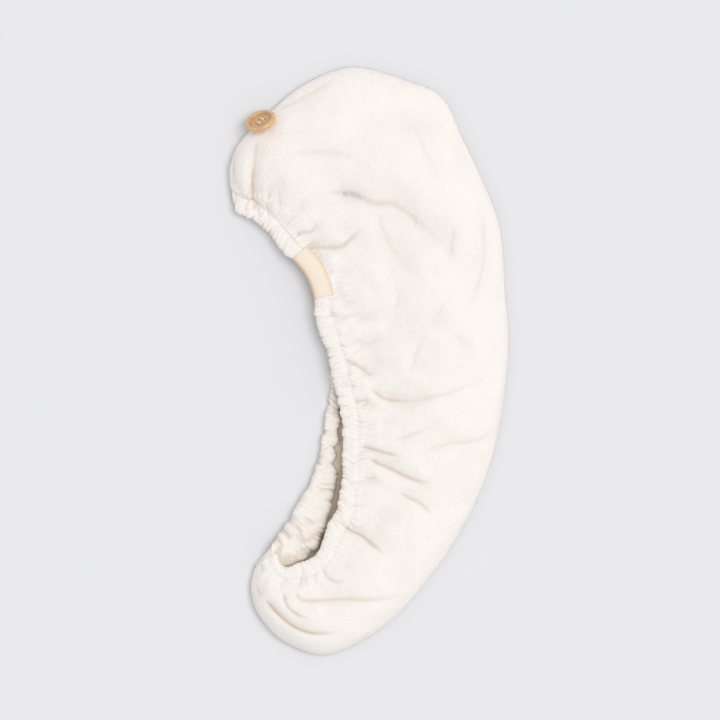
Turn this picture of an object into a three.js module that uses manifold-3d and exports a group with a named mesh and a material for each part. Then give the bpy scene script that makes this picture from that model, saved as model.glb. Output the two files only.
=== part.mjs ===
// A hair turban towel of plush cloth, lying on a flat surface as it is stored.
// Two crescent panels are sewn together along their outer edge. Their inner edges end in one gathered
// elastic hem, which is the mouth that goes over the head. A blank woven tab folds over the hem, and a
// wooden button is sewn on beside the seam. Millimetres, +Z up, the origin under the middle of the outline.
import * as THREE from "three";
import { mergeVertices } from "three/addons/utils/BufferGeometryUtils.js";
import Module from "manifold-3d";

const wasm = await Module();
wasm.setup();

// Overall sizes of the towel as it lies
const towelLength = 470;
const towelWidth = 223;
const crownHeight = 33;
const clothThickness = 2.2;
const pieceGap = 0.3;
const stitchGap = 0.55; // between a panel's edge and the hem that it is stitched to

// The gathered hem
const hemWidth = 15;
const hemThickness = 5;
const gatherPitch = 7;
const gatherDepth = 0.9;
const puckerDepth = 0.9;
const puckerReach = 24;

// The tab that is folded over the hem
const tabLength = 37;
const tabThickness = 0.6;
const tabPlace = 0.224; // share of the mouth's upper edge, from the button's end

// Folds of the upper panel
const foldDepth = 10;
const foldWidth = 8;

// The button and its thread
const buttonDiameter = 25;
const buttonThickness = 4.6;
const dishDiameter = 17;
const dishDepth = 1.5;
const holeDiameter = 2.4;
const holeSpacing = 4.7;
const threadDiameter = 1.3;
const shankDiameter = 4;
const knotThickness = 0.64; // the thread gathered behind the button's four holes
const shankLength = 1.6;
const buttonTilt = 53; // degrees between the button's axis and +Z
const buttonHeading = 112; // degrees from +X to where the axis leans
const buttonSpin = -23; // degrees by which its holes are turned about its axis
const buttonX = -0.383; // place of the button's middle, as shares of towelWidth and towelLength
const buttonY = 0.3975;

// How finely the surfaces are faceted
const hemFacets = 8;
const upperRows = 11;
const lowerRows = 6;
const tabSteps = 8;
const roundFacets = 24;
const smallFacets = 10; // of the holes and the thread

// The seam, with one row for each section of the crescent, from the button's end to the lower end. seamX
// and seamY are shares of towelWidth and towelLength from the middle, seamZ and crown are shares of
// crownHeight, and crownAt is the share of the way in from the seam at which the upper panel is highest.
const seamSections = [
  { seamX: -0.499, seamY: 0.294, seamZ: 0.23, crown: 0.30, crownAt: 0.95 },
  { seamX: -0.500, seamY: 0.328, seamZ: 0.26, crown: 0.62, crownAt: 0.60 },
  { seamX: -0.468, seamY: 0.368, seamZ: 0.27, crown: 0.76, crownAt: 0.50 },
  { seamX: -0.382, seamY: 0.410, seamZ: 0.26, crown: 0.84, crownAt: 0.45 },
  { seamX: -0.260, seamY: 0.461, seamZ: 0.23, crown: 0.88, crownAt: 0.45 },
  { seamX: -0.131, seamY: 0.492, seamZ: 0.21, crown: 0.92, crownAt: 0.45 },
  { seamX: -0.027, seamY: 0.498, seamZ: 0.20, crown: 0.96, crownAt: 0.45 },
  { seamX: 0.124, seamY: 0.478, seamZ: 0.20, crown: 0.99, crownAt: 0.45 },
  { seamX: 0.260, seamY: 0.448, seamZ: 0.20, crown: 1.00, crownAt: 0.45 },
  { seamX: 0.339, seamY: 0.373, seamZ: 0.20, crown: 1.00, crownAt: 0.45 },
  { seamX: 0.418, seamY: 0.293, seamZ: 0.20, crown: 1.00, crownAt: 0.45 },
  { seamX: 0.471, seamY: 0.219, seamZ: 0.20, crown: 1.00, crownAt: 0.45 },
  { seamX: 0.486, seamY: 0.120, seamZ: 0.20, crown: 1.00, crownAt: 0.45 },
  { seamX: 0.499, seamY: 0.031, seamZ: 0.20, crown: 1.00, crownAt: 0.45 },
  { seamX: 0.481, seamY: -0.067, seamZ: 0.20, crown: 0.99, crownAt: 0.45 },
  { seamX: 0.439, seamY: -0.166, seamZ: 0.20, crown: 0.98, crownAt: 0.45 },
  { seamX: 0.357, seamY: -0.264, seamZ: 0.20, crown: 0.96, crownAt: 0.45 },
  { seamX: 0.228, seamY: -0.361, seamZ: 0.20, crown: 0.94, crownAt: 0.45 },
  { seamX: 0.052, seamY: -0.452, seamZ: 0.20, crown: 0.92, crownAt: 0.45 },
  { seamX: -0.149, seamY: -0.499, seamZ: 0.20, crown: 0.90, crownAt: 0.45 },
  { seamX: -0.306, seamY: -0.477, seamZ: 0.20, crown: 0.86, crownAt: 0.46 },
  { seamX: -0.396, seamY: -0.433, seamZ: 0.20, crown: 0.74, crownAt: 0.52 },
  { seamX: -0.425, seamY: -0.390, seamZ: 0.20, crown: 0.50, crownAt: 0.66 },
  { seamX: -0.414, seamY: -0.354, seamZ: 0.17, crown: 0.22, crownAt: 0.95 },
];

// The mouth's upper edge, a row for each section. mouthX and mouthY are shares of towelWidth and
// towelLength, mouthZ is a share of crownHeight. heading and dip are degrees: where the cloth runs from
// the edge, seen from above, and how far it slopes down.
const upperSections = [
  { mouthX: -0.470, mouthY: 0.251, mouthZ: 0.25, heading: 84, dip: 0 },
  { mouthX: -0.425, mouthY: 0.241, mouthZ: 0.42, heading: 66, dip: 0 },
  { mouthX: -0.378, mouthY: 0.224, mouthZ: 0.47, heading: 52, dip: 0 },
  { mouthX: -0.339, mouthY: 0.203, mouthZ: 0.50, heading: 46, dip: 0 },
  { mouthX: -0.303, mouthY: 0.181, mouthZ: 0.53, heading: 43, dip: 0 },
  { mouthX: -0.267, mouthY: 0.164, mouthZ: 0.56, heading: 40, dip: 0 },
  { mouthX: -0.235, mouthY: 0.145, mouthZ: 0.58, heading: 33, dip: 0 },
  { mouthX: -0.213, mouthY: 0.122, mouthZ: 0.59, heading: 23, dip: 0 },
  { mouthX: -0.199, mouthY: 0.096, mouthZ: 0.60, heading: 15, dip: 0 },
  { mouthX: -0.185, mouthY: 0.059, mouthZ: 0.61, heading: 18, dip: 0 },
  { mouthX: -0.156, mouthY: 0.018, mouthZ: 0.62, heading: 15, dip: 0 },
  { mouthX: -0.134, mouthY: -0.023, mouthZ: 0.63, heading: 13, dip: 0 },
  { mouthX: -0.113, mouthY: -0.069, mouthZ: 0.64, heading: 10, dip: 0 },
  { mouthX: -0.095, mouthY: -0.115, mouthZ: 0.65, heading: 3, dip: 0 },
  { mouthX: -0.095, mouthY: -0.162, mouthZ: 0.66, heading: -1, dip: 0 },
  { mouthX: -0.099, mouthY: -0.207, mouthZ: 0.67, heading: -8, dip: 0 },
  { mouthX: -0.116, mouthY: -0.249, mouthZ: 0.68, heading: -20, dip: 0 },
  { mouthX: -0.152, mouthY: -0.280, mouthZ: 0.68, heading: -25, dip: 0 },
  { mouthX: -0.174, mouthY: -0.314, mouthZ: 0.67, heading: -34, dip: 0 },
  { mouthX: -0.206, mouthY: -0.334, mouthZ: 0.65, heading: -64, dip: 0 },
  { mouthX: -0.256, mouthY: -0.344, mouthZ: 0.62, heading: -82, dip: 4 },
  { mouthX: -0.299, mouthY: -0.351, mouthZ: 0.58, heading: -96, dip: 8 },
  { mouthX: -0.332, mouthY: -0.343, mouthZ: 0.54, heading: -112, dip: 20 },
  { mouthX: -0.353, mouthY: -0.323, mouthZ: 0.48, heading: -128, dip: 50 },
];

// The mouth's lower edge, with the same columns, from the same end.
const lowerSections = [
  { mouthX: -0.470, mouthY: 0.251, mouthZ: 0.25, heading: 84, dip: 0 },
  { mouthX: -0.425, mouthY: 0.242, mouthZ: 0.105, heading: 66, dip: 0 },
  { mouthX: -0.378, mouthY: 0.226, mouthZ: 0.105, heading: 52, dip: 0 },
  { mouthX: -0.336, mouthY: 0.206, mouthZ: 0.105, heading: 46, dip: 0 },
  { mouthX: -0.299, mouthY: 0.184, mouthZ: 0.105, heading: 43, dip: 0 },
  { mouthX: -0.263, mouthY: 0.167, mouthZ: 0.105, heading: 40, dip: 0 },
  { mouthX: -0.230, mouthY: 0.147, mouthZ: 0.105, heading: 33, dip: 0 },
  { mouthX: -0.208, mouthY: 0.123, mouthZ: 0.105, heading: 22, dip: 0 },
  { mouthX: -0.193, mouthY: 0.096, mouthZ: 0.105, heading: 16, dip: 0 },
  { mouthX: -0.178, mouthY: 0.060, mouthZ: 0.105, heading: 16, dip: 0 },
  { mouthX: -0.152, mouthY: 0.020, mouthZ: 0.105, heading: 12, dip: 0 },
  { mouthX: -0.138, mouthY: -0.015, mouthZ: 0.105, heading: 2, dip: 0 },
  { mouthX: -0.138, mouthY: -0.050, mouthZ: 0.105, heading: -6, dip: 0 },
  { mouthX: -0.149, mouthY: -0.085, mouthZ: 0.105, heading: -9, dip: 0 },
  { mouthX: -0.163, mouthY: -0.121, mouthZ: 0.105, heading: -11, dip: 0 },
  { mouthX: -0.181, mouthY: -0.158, mouthZ: 0.105, heading: -15, dip: 0 },
  { mouthX: -0.203, mouthY: -0.194, mouthZ: 0.11, heading: -22, dip: 0 },
  { mouthX: -0.237, mouthY: -0.229, mouthZ: 0.12, heading: -29, dip: 1 },
  { mouthX: -0.272, mouthY: -0.258, mouthZ: 0.15, heading: -34, dip: 5 },
  { mouthX: -0.306, mouthY: -0.282, mouthZ: 0.20, heading: -40, dip: 12 },
  { mouthX: -0.332, mouthY: -0.300, mouthZ: 0.30, heading: -56, dip: 26 },
  { mouthX: -0.348, mouthY: -0.310, mouthZ: 0.40, heading: -84, dip: 44 },
  { mouthX: -0.355, mouthY: -0.316, mouthZ: 0.46, heading: -112, dip: 52 },
  { mouthX: -0.353, mouthY: -0.323, mouthZ: 0.48, heading: -128, dip: 50 },
];

// One row for each fold of the upper panel: a valley that runs from one point by a second to a third.
// x and y are shares of towelWidth and towelLength, depth and width are shares of foldDepth and foldWidth.
const folds = [
  { name: "great fold", x: [-0.16, 0.1, 0.28], y: [0.287, 0.29, 0.18], depth: 0.9, width: 1 },
  { name: "great fold's branch", x: [0.04, 0.06, 0.15], y: [0.26, 0.205, 0.146], depth: 0.4, width: 1.5 },
  { name: "hollow by the seam", x: [0.38, 0.41, 0.35], y: [0.273, 0.188, 0.072], depth: 0.5, width: 1.3 },
  { name: "dent beside it", x: [0.3, 0.3, 0.29], y: [0.23, 0.2, 0.168], depth: 0.3, width: 0.7 },
  { name: "below the button", x: [-0.405, -0.4, -0.418], y: [0.385, 0.33, 0.264], depth: 0.8, width: 1.2 },
  { name: "pleat by the seam", x: [-0.34, -0.23, -0.11], y: [0.421, 0.443, 0.482], depth: 0.3, width: 0.6 },
  { name: "under the crown", x: [-0.29, -0.18, -0.03], y: [0.344, 0.353, 0.344], depth: 0.22, width: 1.2 },
  { name: "above the tab", x: [-0.25, -0.2, -0.18], y: [0.212, 0.212, 0.242], depth: 0.35, width: 0.6 },
  { name: "crease from the tab", x: [-0.22, -0.11, -0.03], y: [0.188, 0.191, 0.227], depth: 0.4, width: 0.7 },
  { name: "fold below the tab", x: [-0.07, -0.03, 0.06], y: [0.066, 0.072, 0.069], depth: 0.28, width: 0.9 },
  { name: "hollow below the tab", x: [-0.06, 0, 0.09], y: [0.048, 0.035, 0.06], depth: 0.28, width: 1.1 },
  { name: "dent in the middle", x: [0.2, 0.15, 0.12], y: [0.044, 0.018, -0.025], depth: 0.3, width: 1.1 },
  { name: "mid mouth", x: [-0.1, -0.03, 0.02], y: [0.009, 0.004, -0.03], depth: 0.45, width: 0.7 },
  { name: "long fold", x: [0, 0.06, 0.47], y: [-0.042, -0.081, -0.013], depth: 0.55, width: 0.9 },
  { name: "faint fold", x: [0.07, 0.15, 0.24], y: [-0.137, -0.128, -0.11], depth: 0.22, width: 0.8 },
  { name: "upper crease", x: [-0.03, 0.02, 0.12], y: [-0.144, -0.156, -0.164], depth: 0.4, width: 0.6 },
  { name: "lower crease", x: [0, 0.09, 0.22], y: [-0.161, -0.195, -0.203], depth: 0.55, width: 0.75 },
  { name: "fold at the seam", x: [0.16, 0.29, 0.47], y: [-0.166, -0.135, -0.098], depth: 0.3, width: 1 },
  { name: "short slant", x: [0.1, 0.18, 0.24], y: [-0.222, -0.237, -0.264], depth: 0.4, width: 0.8 },
  { name: "long slant", x: [-0.12, -0.05, 0.08], y: [-0.268, -0.293, -0.332], depth: 0.6, width: 0.75 },
  { name: "level fold", x: [-0.25, -0.11, 0.15], y: [-0.39, -0.412, -0.397], depth: 0.55, width: 0.8 },
  { name: "curl at the end", x: [-0.3, -0.31, -0.23], y: [-0.37, -0.407, -0.431], depth: 0.5, width: 0.6 },
  { name: "round the end", x: [-0.385, -0.285, -0.09], y: [-0.397, -0.462, -0.46], depth: 0.7, width: 0.65 },
];

const radians = THREE.MathUtils.degToRad;
const clamp = THREE.MathUtils.clamp;
const smooth = (x) => THREE.MathUtils.smoothstep(x, 0, 1);

// The value of one column of a table at u, from 0 at the first row to 1 at the last, on a smooth curve.
function column(rows, name, u) {
  const place = clamp(u, 0, 1) * (rows.length - 1);
  const i = Math.min(Math.floor(place), rows.length - 2);
  const t = place - i;
  const [b, c] = [rows[i][name], rows[i + 1][name]];
  const a = i > 0 ? rows[i - 1][name] : 2 * b - c;
  const d = i < rows.length - 2 ? rows[i + 2][name] : 2 * c - b;
  return b + 0.5 * t * (c - a + t * (2 * a - 5 * b + 4 * c - d + t * (3 * (b - c) + d - a)));
}

function planPoint(rows, xName, yName, u) {
  return new THREE.Vector2(column(rows, xName, u) * towelWidth, column(rows, yName, u) * towelLength);
}

// The mouth's height as a share of crownHeight, following a quarter ellipse between each end row and the
// next one, so that the hem turns round there.
function turnedHeight(rows, u) {
  const last = rows.length - 1;
  const fromEnd = Math.max(Math.min(u, 1 - u) * last, 1e-6);
  const height = column(rows, "mouthZ", u);
  if (fromEnd >= 1) return height;
  const endHeight = rows[u < 0.5 ? 0 : last].mouthZ;
  return endHeight + (height - endHeight) * (Math.sqrt(fromEnd * (2 - fromEnd)) / fromEnd);
}

// The mouth's edge at u: its point, the direction in which the hem runs into the cloth, and the upward
// direction square to it. The edge and the hem's stitched side both stay clear of the floor by half the
// hem's thickness.
const lowestHem = hemThickness / 2 + gatherDepth;
function mouthAt(rows, u) {
  const plan = planPoint(rows, "mouthX", "mouthY", u);
  const height = Math.max(turnedHeight(rows, u) * crownHeight, lowestHem);
  const steepest = Math.asin(Math.min(1, (height - lowestHem) / hemWidth));
  const heading = radians(column(rows, "heading", u));
  const dip = Math.min(radians(column(rows, "dip", u)), steepest);
  return {
    edge: new THREE.Vector3(plan.x, plan.y, height),
    into: new THREE.Vector3(
      Math.cos(dip) * Math.cos(heading),
      Math.cos(dip) * Math.sin(heading),
      -Math.sin(dip),
    ),
    up: new THREE.Vector3(
      Math.sin(dip) * Math.cos(heading),
      Math.sin(dip) * Math.sin(heading),
      Math.cos(dip),
    ),
  };
}

// At the crescent's two ends, where both panels meet the same hem, each keeps to its own side of it, the
// cloth is pressed thinner, and the stitched gap is wider.
const endStretch = 0.06;
const endThinning = 0.4;
const nearEnd = (u) => 1 - smooth(Math.min(u, 1 - u) / endStretch);
const wallAt = (u) => clothThickness * (1 - endThinning * nearEnd(u));
const endParting = (u) => ((wallAt(u) + pieceGap) / 2) * nearEnd(u);

// Where a panel's outside takes over from the hem's stitched side. away is the direction of its outside.
function stitchAt(rows, u, away) {
  const { edge, into } = mouthAt(rows, u);
  edge.addScaledVector(into, hemWidth + stitchGap * (1 + 1.5 * nearEnd(u)));
  return edge.addScaledVector(away, wallAt(u) / 2 + endParting(u));
}

// The places of u at which the mouth's edge is divided into equal lengths.
function evenPlaces(rows, count) {
  const fine = 600;
  const lengths = [0];
  for (let i = 1; i <= fine; i++) {
    const a = mouthAt(rows, (i - 1) / fine).edge;
    const b = mouthAt(rows, i / fine).edge;
    lengths.push(lengths[i - 1] + a.distanceTo(b));
  }
  const total = lengths[fine];
  const places = [];
  let i = 0;
  for (let k = 0; k <= count; k++) {
    const wanted = (total * k) / count;
    while (i < fine - 1 && lengths[i + 1] < wanted) i++;
    const span = lengths[i + 1] - lengths[i];
    places.push((i + clamp((wanted - lengths[i]) / span, 0, 1)) / fine);
  }
  return { places, total };
}

// How far the folds sink the upper panel at a point of the plan.
const foldSteps = 14;
const foldPaths = folds.map((fold) => {
  const ends = [0, 1, 2].map((k) => new THREE.Vector2(fold.x[k] * towelWidth, fold.y[k] * towelLength));
  return new THREE.QuadraticBezierCurve(...ends).getPoints(foldSteps);
});

function foldSink(point) {
  let sink = 0;
  folds.forEach((fold, k) => {
    const path = foldPaths[k];
    let nearest = Infinity;
    let share = 0;
    for (let i = 0; i < foldSteps; i++) {
      const along = path[i + 1].clone().sub(path[i]);
      const t = clamp(point.clone().sub(path[i]).dot(along) / along.lengthSq(), 0, 1);
      const distance = point.distanceTo(path[i].clone().addScaledVector(along, t));
      if (distance < nearest) {
        nearest = distance;
        share = (i + t) / foldSteps;
      }
    }
    const fade = Math.sqrt(Math.max(0, Math.sin(Math.PI * clamp(share, 0.06, 0.94))));
    sink += fold.depth * foldDepth * fade * Math.exp(-((nearest / (fold.width * foldWidth)) ** 2));
  });
  return sink;
}

// A quarter round from 0 at the seam to 1, fuller as the power rises.
const edgePower = 1.7;
const quarterRound = (x) => (1 - (1 - clamp(x, 0, 1)) ** edgePower) ** (1 / edgePower);

// The upper panel's outside at u along the crescent and v across it, from the seam to the hem.
function upperOutside(u, v, pucker) {
  const seam = planPoint(seamSections, "seamX", "seamY", u);
  const stitch = stitchAt(upperSections, u, mouthAt(upperSections, u).up);
  const across = new THREE.Vector2(stitch.x, stitch.y).sub(seam);
  const width = across.length();
  const plan = seam.clone().addScaledVector(across, v);
  const seamZ = column(seamSections, "seamZ", u) * crownHeight + pieceGap / 2;
  const hemZ = stitch.z;
  const crownZ = Math.max(column(seamSections, "crown", u) * crownHeight, hemZ);
  const crownAt = column(seamSections, "crownAt", u);
  const rise = seamZ + (crownZ - seamZ) * quarterRound(v / crownAt);
  const fall = smooth((v - crownAt) / (1 - crownAt));
  const fromSeam = v * width;
  const fromHem = (1 - v) * width;
  const free = smooth(fromSeam / (2 * clothThickness)) * smooth(fromHem / (2 * clothThickness));
  const height = rise + (hemZ - crownZ) * fall;
  const sink = Math.min(foldSink(plan) * free, Math.max(0, height - hemThickness - 2 * clothThickness));
  const ripple = pucker * puckerDepth * Math.exp(-fromHem / puckerReach) * free;
  return new THREE.Vector3(plan.x, plan.y, height - sink + ripple);
}

const down = new THREE.Vector3(0, 0, -1);

// The lower panel's outside: flat on the floor, and raised at the seam and at the hem.
const lowerLift = 0.24; // share of the panel's width over which it lifts to the seam
const lowerHemLift = 0.16;
function lowerOutside(u, v) {
  const seam = planPoint(seamSections, "seamX", "seamY", u);
  const stitch = stitchAt(lowerSections, u, down);
  const across = new THREE.Vector2(stitch.x, stitch.y).sub(seam);
  const plan = seam.clone().addScaledVector(across, v);
  const seamZ = column(seamSections, "seamZ", u) * crownHeight - pieceGap / 2;
  const fromSeam = seamZ * (1 - quarterRound(v / lowerLift));
  const fromHem = stitch.z * smooth((v - 1 + lowerHemLift) / lowerHemLift);
  return new THREE.Vector3(plan.x, plan.y, Math.max(fromSeam, 0) + fromHem);
}

// A closed cloth wall between two grids of points, grid[column][row], the first being the outside.
function wallBetween(outside, inside) {
  const columns = outside.length;
  const rows = outside[0].length;
  const points = [...outside.flat(), ...inside.flat()];
  const top = (c, r) => c * rows + r;
  const under = (c, r) => columns * rows + c * rows + r;
  const faces = [];
  const quad = (a, b, c, d) => faces.push(a, b, c, a, c, d);
  for (let c = 0; c < columns - 1; c++) {
    for (let r = 0; r < rows - 1; r++) {
      quad(top(c, r), top(c + 1, r), top(c + 1, r + 1), top(c, r + 1));
      quad(under(c, r), under(c, r + 1), under(c + 1, r + 1), under(c + 1, r));
    }
    quad(top(c, 0), under(c, 0), under(c + 1, 0), top(c + 1, 0));
    quad(top(c, rows - 1), top(c + 1, rows - 1), under(c + 1, rows - 1), under(c, rows - 1));
  }
  for (let r = 0; r < rows - 1; r++) {
    quad(top(0, r), top(0, r + 1), under(0, r + 1), under(0, r));
    quad(top(columns - 1, r), under(columns - 1, r), under(columns - 1, r + 1), top(columns - 1, r + 1));
  }
  return facingOut(new THREE.BufferGeometry().setFromPoints(points).setIndex(faces));
}

// A closed ring of closed sections, ring[station][corner].
function ringOf(ring) {
  const stations = ring.length;
  const corners = ring[0].length;
  const faces = [];
  for (let s = 0; s < stations; s++) {
    for (let k = 0; k < corners; k++) {
      const a = s * corners + k;
      const b = s * corners + ((k + 1) % corners);
      const c = ((s + 1) % stations) * corners + ((k + 1) % corners);
      const d = ((s + 1) % stations) * corners + k;
      faces.push(a, b, c, a, c, d);
    }
  }
  return facingOut(new THREE.BufferGeometry().setFromPoints(ring.flat()).setIndex(faces));
}

// Turns every face round when the solid would otherwise be inside out.
function facingOut(geometry) {
  const place = geometry.getAttribute("position");
  const index = geometry.getIndex();
  const corner = [0, 1, 2].map(() => new THREE.Vector3());
  let volume = 0;
  for (let i = 0; i < index.count; i += 3) {
    corner.forEach((p, k) => p.fromBufferAttribute(place, index.getX(i + k)));
    volume += corner[0].dot(corner[1].clone().cross(corner[2]));
  }
  if (volume < 0) {
    const turned = Array.from(index.array).reverse();
    geometry.setIndex(turned);
  }
  geometry.computeVertexNormals();
  return geometry;
}

// A grid moved by the cloth's thickness to its inner side, away from the outside's normals. places holds
// the u of each column, and hemNormals are the normals of the last row.
function innerGrid(grid, side, places, hemNormals) {
  const columns = grid.length;
  const rows = grid[0].length;
  return grid.map((line, c) =>
    line.map((point, r) => {
      const along = grid[Math.min(c + 1, columns - 1)][r].clone().sub(grid[Math.max(c - 1, 0)][r]);
      const across = line[Math.min(r + 1, rows - 1)].clone().sub(line[Math.max(r - 1, 0)]);
      const normal = along.cross(across).normalize();
      if (normal.z * side < 0) normal.negate();
      if (r === 0) {
        normal.set(line[0].x - line[2].x, line[0].y - line[2].y, 0).normalize();
      }
      if (r === rows - 1) normal.copy(hemNormals[c]);
      return point.clone().addScaledVector(normal, -wallAt(places[c]));
    }),
  );
}

// Each gather is a crest and a trough, and the panels' columns run on from the hem's stations.
function gatherPlaces(rows) {
  const { total } = evenPlaces(rows, 1);
  return evenPlaces(rows, 2 * Math.round(total / gatherPitch));
}

const upperPlaces = gatherPlaces(upperSections);
const lowerPlaces = gatherPlaces(lowerSections);
const crestOrTrough = (index) => (index % 2 ? -1 : 1);
const panelMargin = 0.006; // share of the crescent left free at each end, where the hem turns
const panelColumns = ({ places }) => places.map((u) => clamp(u, panelMargin, 1 - panelMargin));

// The rows of a panel at u. The first one keeps far enough from the seam for the wall to turn over there,
// and the others lie closer together towards the seam as the power rises.
const upperRowPower = 1.25;
const seamTurn = 1.6; // of the wall's thickness
function rowPlaces(u, count, power) {
  const seam = planPoint(seamSections, "seamX", "seamY", u);
  const { edge, into } = mouthAt(upperSections, u);
  const width = Math.hypot(edge.x + into.x * hemWidth - seam.x, edge.y + into.y * hemWidth - seam.y);
  const first = Math.max((seamTurn * clothThickness) / width, 0.04);
  const inner = Array.from({ length: count }, (_, r) => first + (1 - first) * (r / (count - 1)) ** power);
  return [0, ...inner];
}

function upperPanel() {
  const columns = panelColumns(upperPlaces);
  const outside = columns.map((u, c) =>
    rowPlaces(u, upperRows, upperRowPower).map((v) => upperOutside(u, v, crestOrTrough(c))),
  );
  const hemNormals = columns.map((u) => mouthAt(upperSections, u).up);
  return wallBetween(outside, innerGrid(outside, 1, columns, hemNormals));
}

function lowerPanel() {
  const columns = panelColumns(lowerPlaces);
  const outside = columns.map((u) => rowPlaces(u, lowerRows, 1).map((v) => lowerOutside(u, v)));
  return wallBetween(outside, innerGrid(outside, -1, columns, columns.map(() => down)));
}

// The stations of the hem, once round the mouth: along the upper edge and back along the lower one.
function hemStations() {
  const upper = upperPlaces.places.slice(0, -1).map((u) => ({ rows: upperSections, u }));
  const lower = lowerPlaces.places.slice(1).reverse().map((u) => ({ rows: lowerSections, u }));
  const stations = [...upper, ...lower].map(({ rows, u }) => {
    const { edge, into } = mouthAt(rows, u);
    return { upper: rows === upperSections, u, into, centre: edge.addScaledVector(into, hemWidth / 2) };
  });
  stations.forEach((station, i) => {
    const before = stations[(i + stations.length - 1) % stations.length].centre;
    const after = stations[(i + 1) % stations.length].centre;
    const along = after.clone().sub(before).normalize();
    station.out = along.clone().cross(station.into).normalize();
  });
  return stations;
}

const stations = hemStations();

// A point round the hem's flat oval section. At angle 0 it is on the stitched side, at 180 on the mouth's.
const ovalPower = 0.8;
const stitchTaper = 0.3; // how much thinner than at its middle the hem is where it is stitched
function ovalPoint(station, angle, grow, side) {
  const wide = Math.sign(Math.cos(angle)) * Math.abs(Math.cos(angle)) ** ovalPower;
  const thick = Math.sign(Math.sin(angle)) * Math.abs(Math.sin(angle)) ** ovalPower;
  const taper = 1 - stitchTaper * Math.max(0, Math.cos(angle));
  return station.centre
    .clone()
    .addScaledVector(station.into, wide * (hemWidth / 2 + side))
    .addScaledVector(station.out, thick * (hemThickness / 2 + grow) * taper);
}

// The tab's stretch of the upper edge, as shares of its length.
const tabHalf = tabLength / 2 / upperPlaces.total;
function underTab(index) {
  const share = index / (upperPlaces.places.length - 1);
  return 1 - smooth((Math.abs(share - tabPlace) - tabHalf) / tabHalf + 0.2);
}

function mouthHem() {
  return ringOf(
    stations.map((station, i) => {
      const calm = station.upper ? 1 - underTab(i) : 1;
      const wave = crestOrTrough(i) * calm;
      return Array.from({ length: hemFacets }, (_, k) => {
        const angle = (2 * Math.PI * k) / hemFacets;
        const free = (1 - Math.cos(angle)) / 2;
        const swell = gatherDepth * wave * Math.sqrt(free);
        return ovalPoint(station, angle, swell, free * swell * 0.5);
      });
    }),
  );
}

// The blank tab: a strip folded round the mouth's edge, clear of the hem beneath it.
function wovenTab() {
  const count = upperPlaces.places.length - 1;
  const first = Math.round((tabPlace - tabHalf) * count);
  const last = Math.round((tabPlace + tabHalf) * count);
  const leafEnd = radians(34);
  const clear = gatherDepth / 2 + pieceGap;
  const layer = (grow) =>
    stations.slice(first, last + 1).map((station) =>
      Array.from({ length: tabSteps + 1 }, (_, k) => {
        const angle = leafEnd + ((2 * Math.PI - 2 * leafEnd) * k) / tabSteps;
        return ovalPoint(station, angle, grow, grow);
      }),
    );
  return wallBetween(layer(clear + tabThickness), layer(clear));
}

// Solids for cutting and joining
function solidOf(geometry) {
  const bare = geometry.index ? geometry.toNonIndexed() : geometry.clone();
  bare.deleteAttribute("normal");
  bare.deleteAttribute("uv");
  const merged = mergeVertices(bare, 1e-3);
  return new wasm.Manifold(
    new wasm.Mesh({
      numProp: 3,
      vertProperties: merged.attributes.position.array,
      triVerts: new Uint32Array(merged.index.array),
    }),
  );
}

function geometryOf(solid) {
  const mesh = solid.getMesh();
  const geometry = new THREE.BufferGeometry();
  geometry.setAttribute("position", new THREE.BufferAttribute(new Float32Array(mesh.vertProperties), 3));
  geometry.setIndex(new THREE.BufferAttribute(mesh.triVerts, 1));
  geometry.computeVertexNormals();
  return geometry;
}

// A cylinder on the Z axis between two heights.
function post(diameter, low, high, facets, x = 0, y = 0) {
  const made = new THREE.CylinderGeometry(diameter / 2, diameter / 2, high - low, facets);
  made.rotateX(Math.PI / 2).translate(x, y, (low + high) / 2);
  return solidOf(made);
}

const holePlaces = [-1, 1].flatMap((x) => [-1, 1].map((y) => [(x * holeSpacing) / 2, (y * holeSpacing) / 2]));
const dishFloor = buttonThickness - dishDepth;

// The button: turned, with a rounded rim round a dish, and four holes. Its back is at z = 0.
function button() {
  const radius = buttonDiameter / 2;
  const rim = buttonThickness;
  const profile = [
    [0, 0],
    [radius * 0.72, 0],
    [radius * 0.93, rim * 0.18],
    [radius, rim * 0.45],
    [radius * 0.985, rim * 0.75],
    [radius * 0.92, rim * 0.95],
    [radius * 0.85, rim],
    [dishDiameter / 2 + dishDepth * 0.55, rim * 0.97],
    [dishDiameter / 2 + dishDepth * 0.15, dishFloor + dishDepth * 0.5],
    [dishDiameter / 2 - dishDepth * 0.6, dishFloor + dishDepth * 0.08],
    [dishDiameter / 4, dishFloor],
    [0, dishFloor],
  ].map(([r, z]) => new THREE.Vector2(r, z));
  const turned = new THREE.LatheGeometry(profile, roundFacets).rotateX(Math.PI / 2);
  let body = solidOf(turned);
  for (const [x, y] of holePlaces) {
    body = body.subtract(post(holeDiameter, -1, buttonThickness + 1, smallFacets, x, y));
  }
  return geometryOf(body);
}

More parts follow.
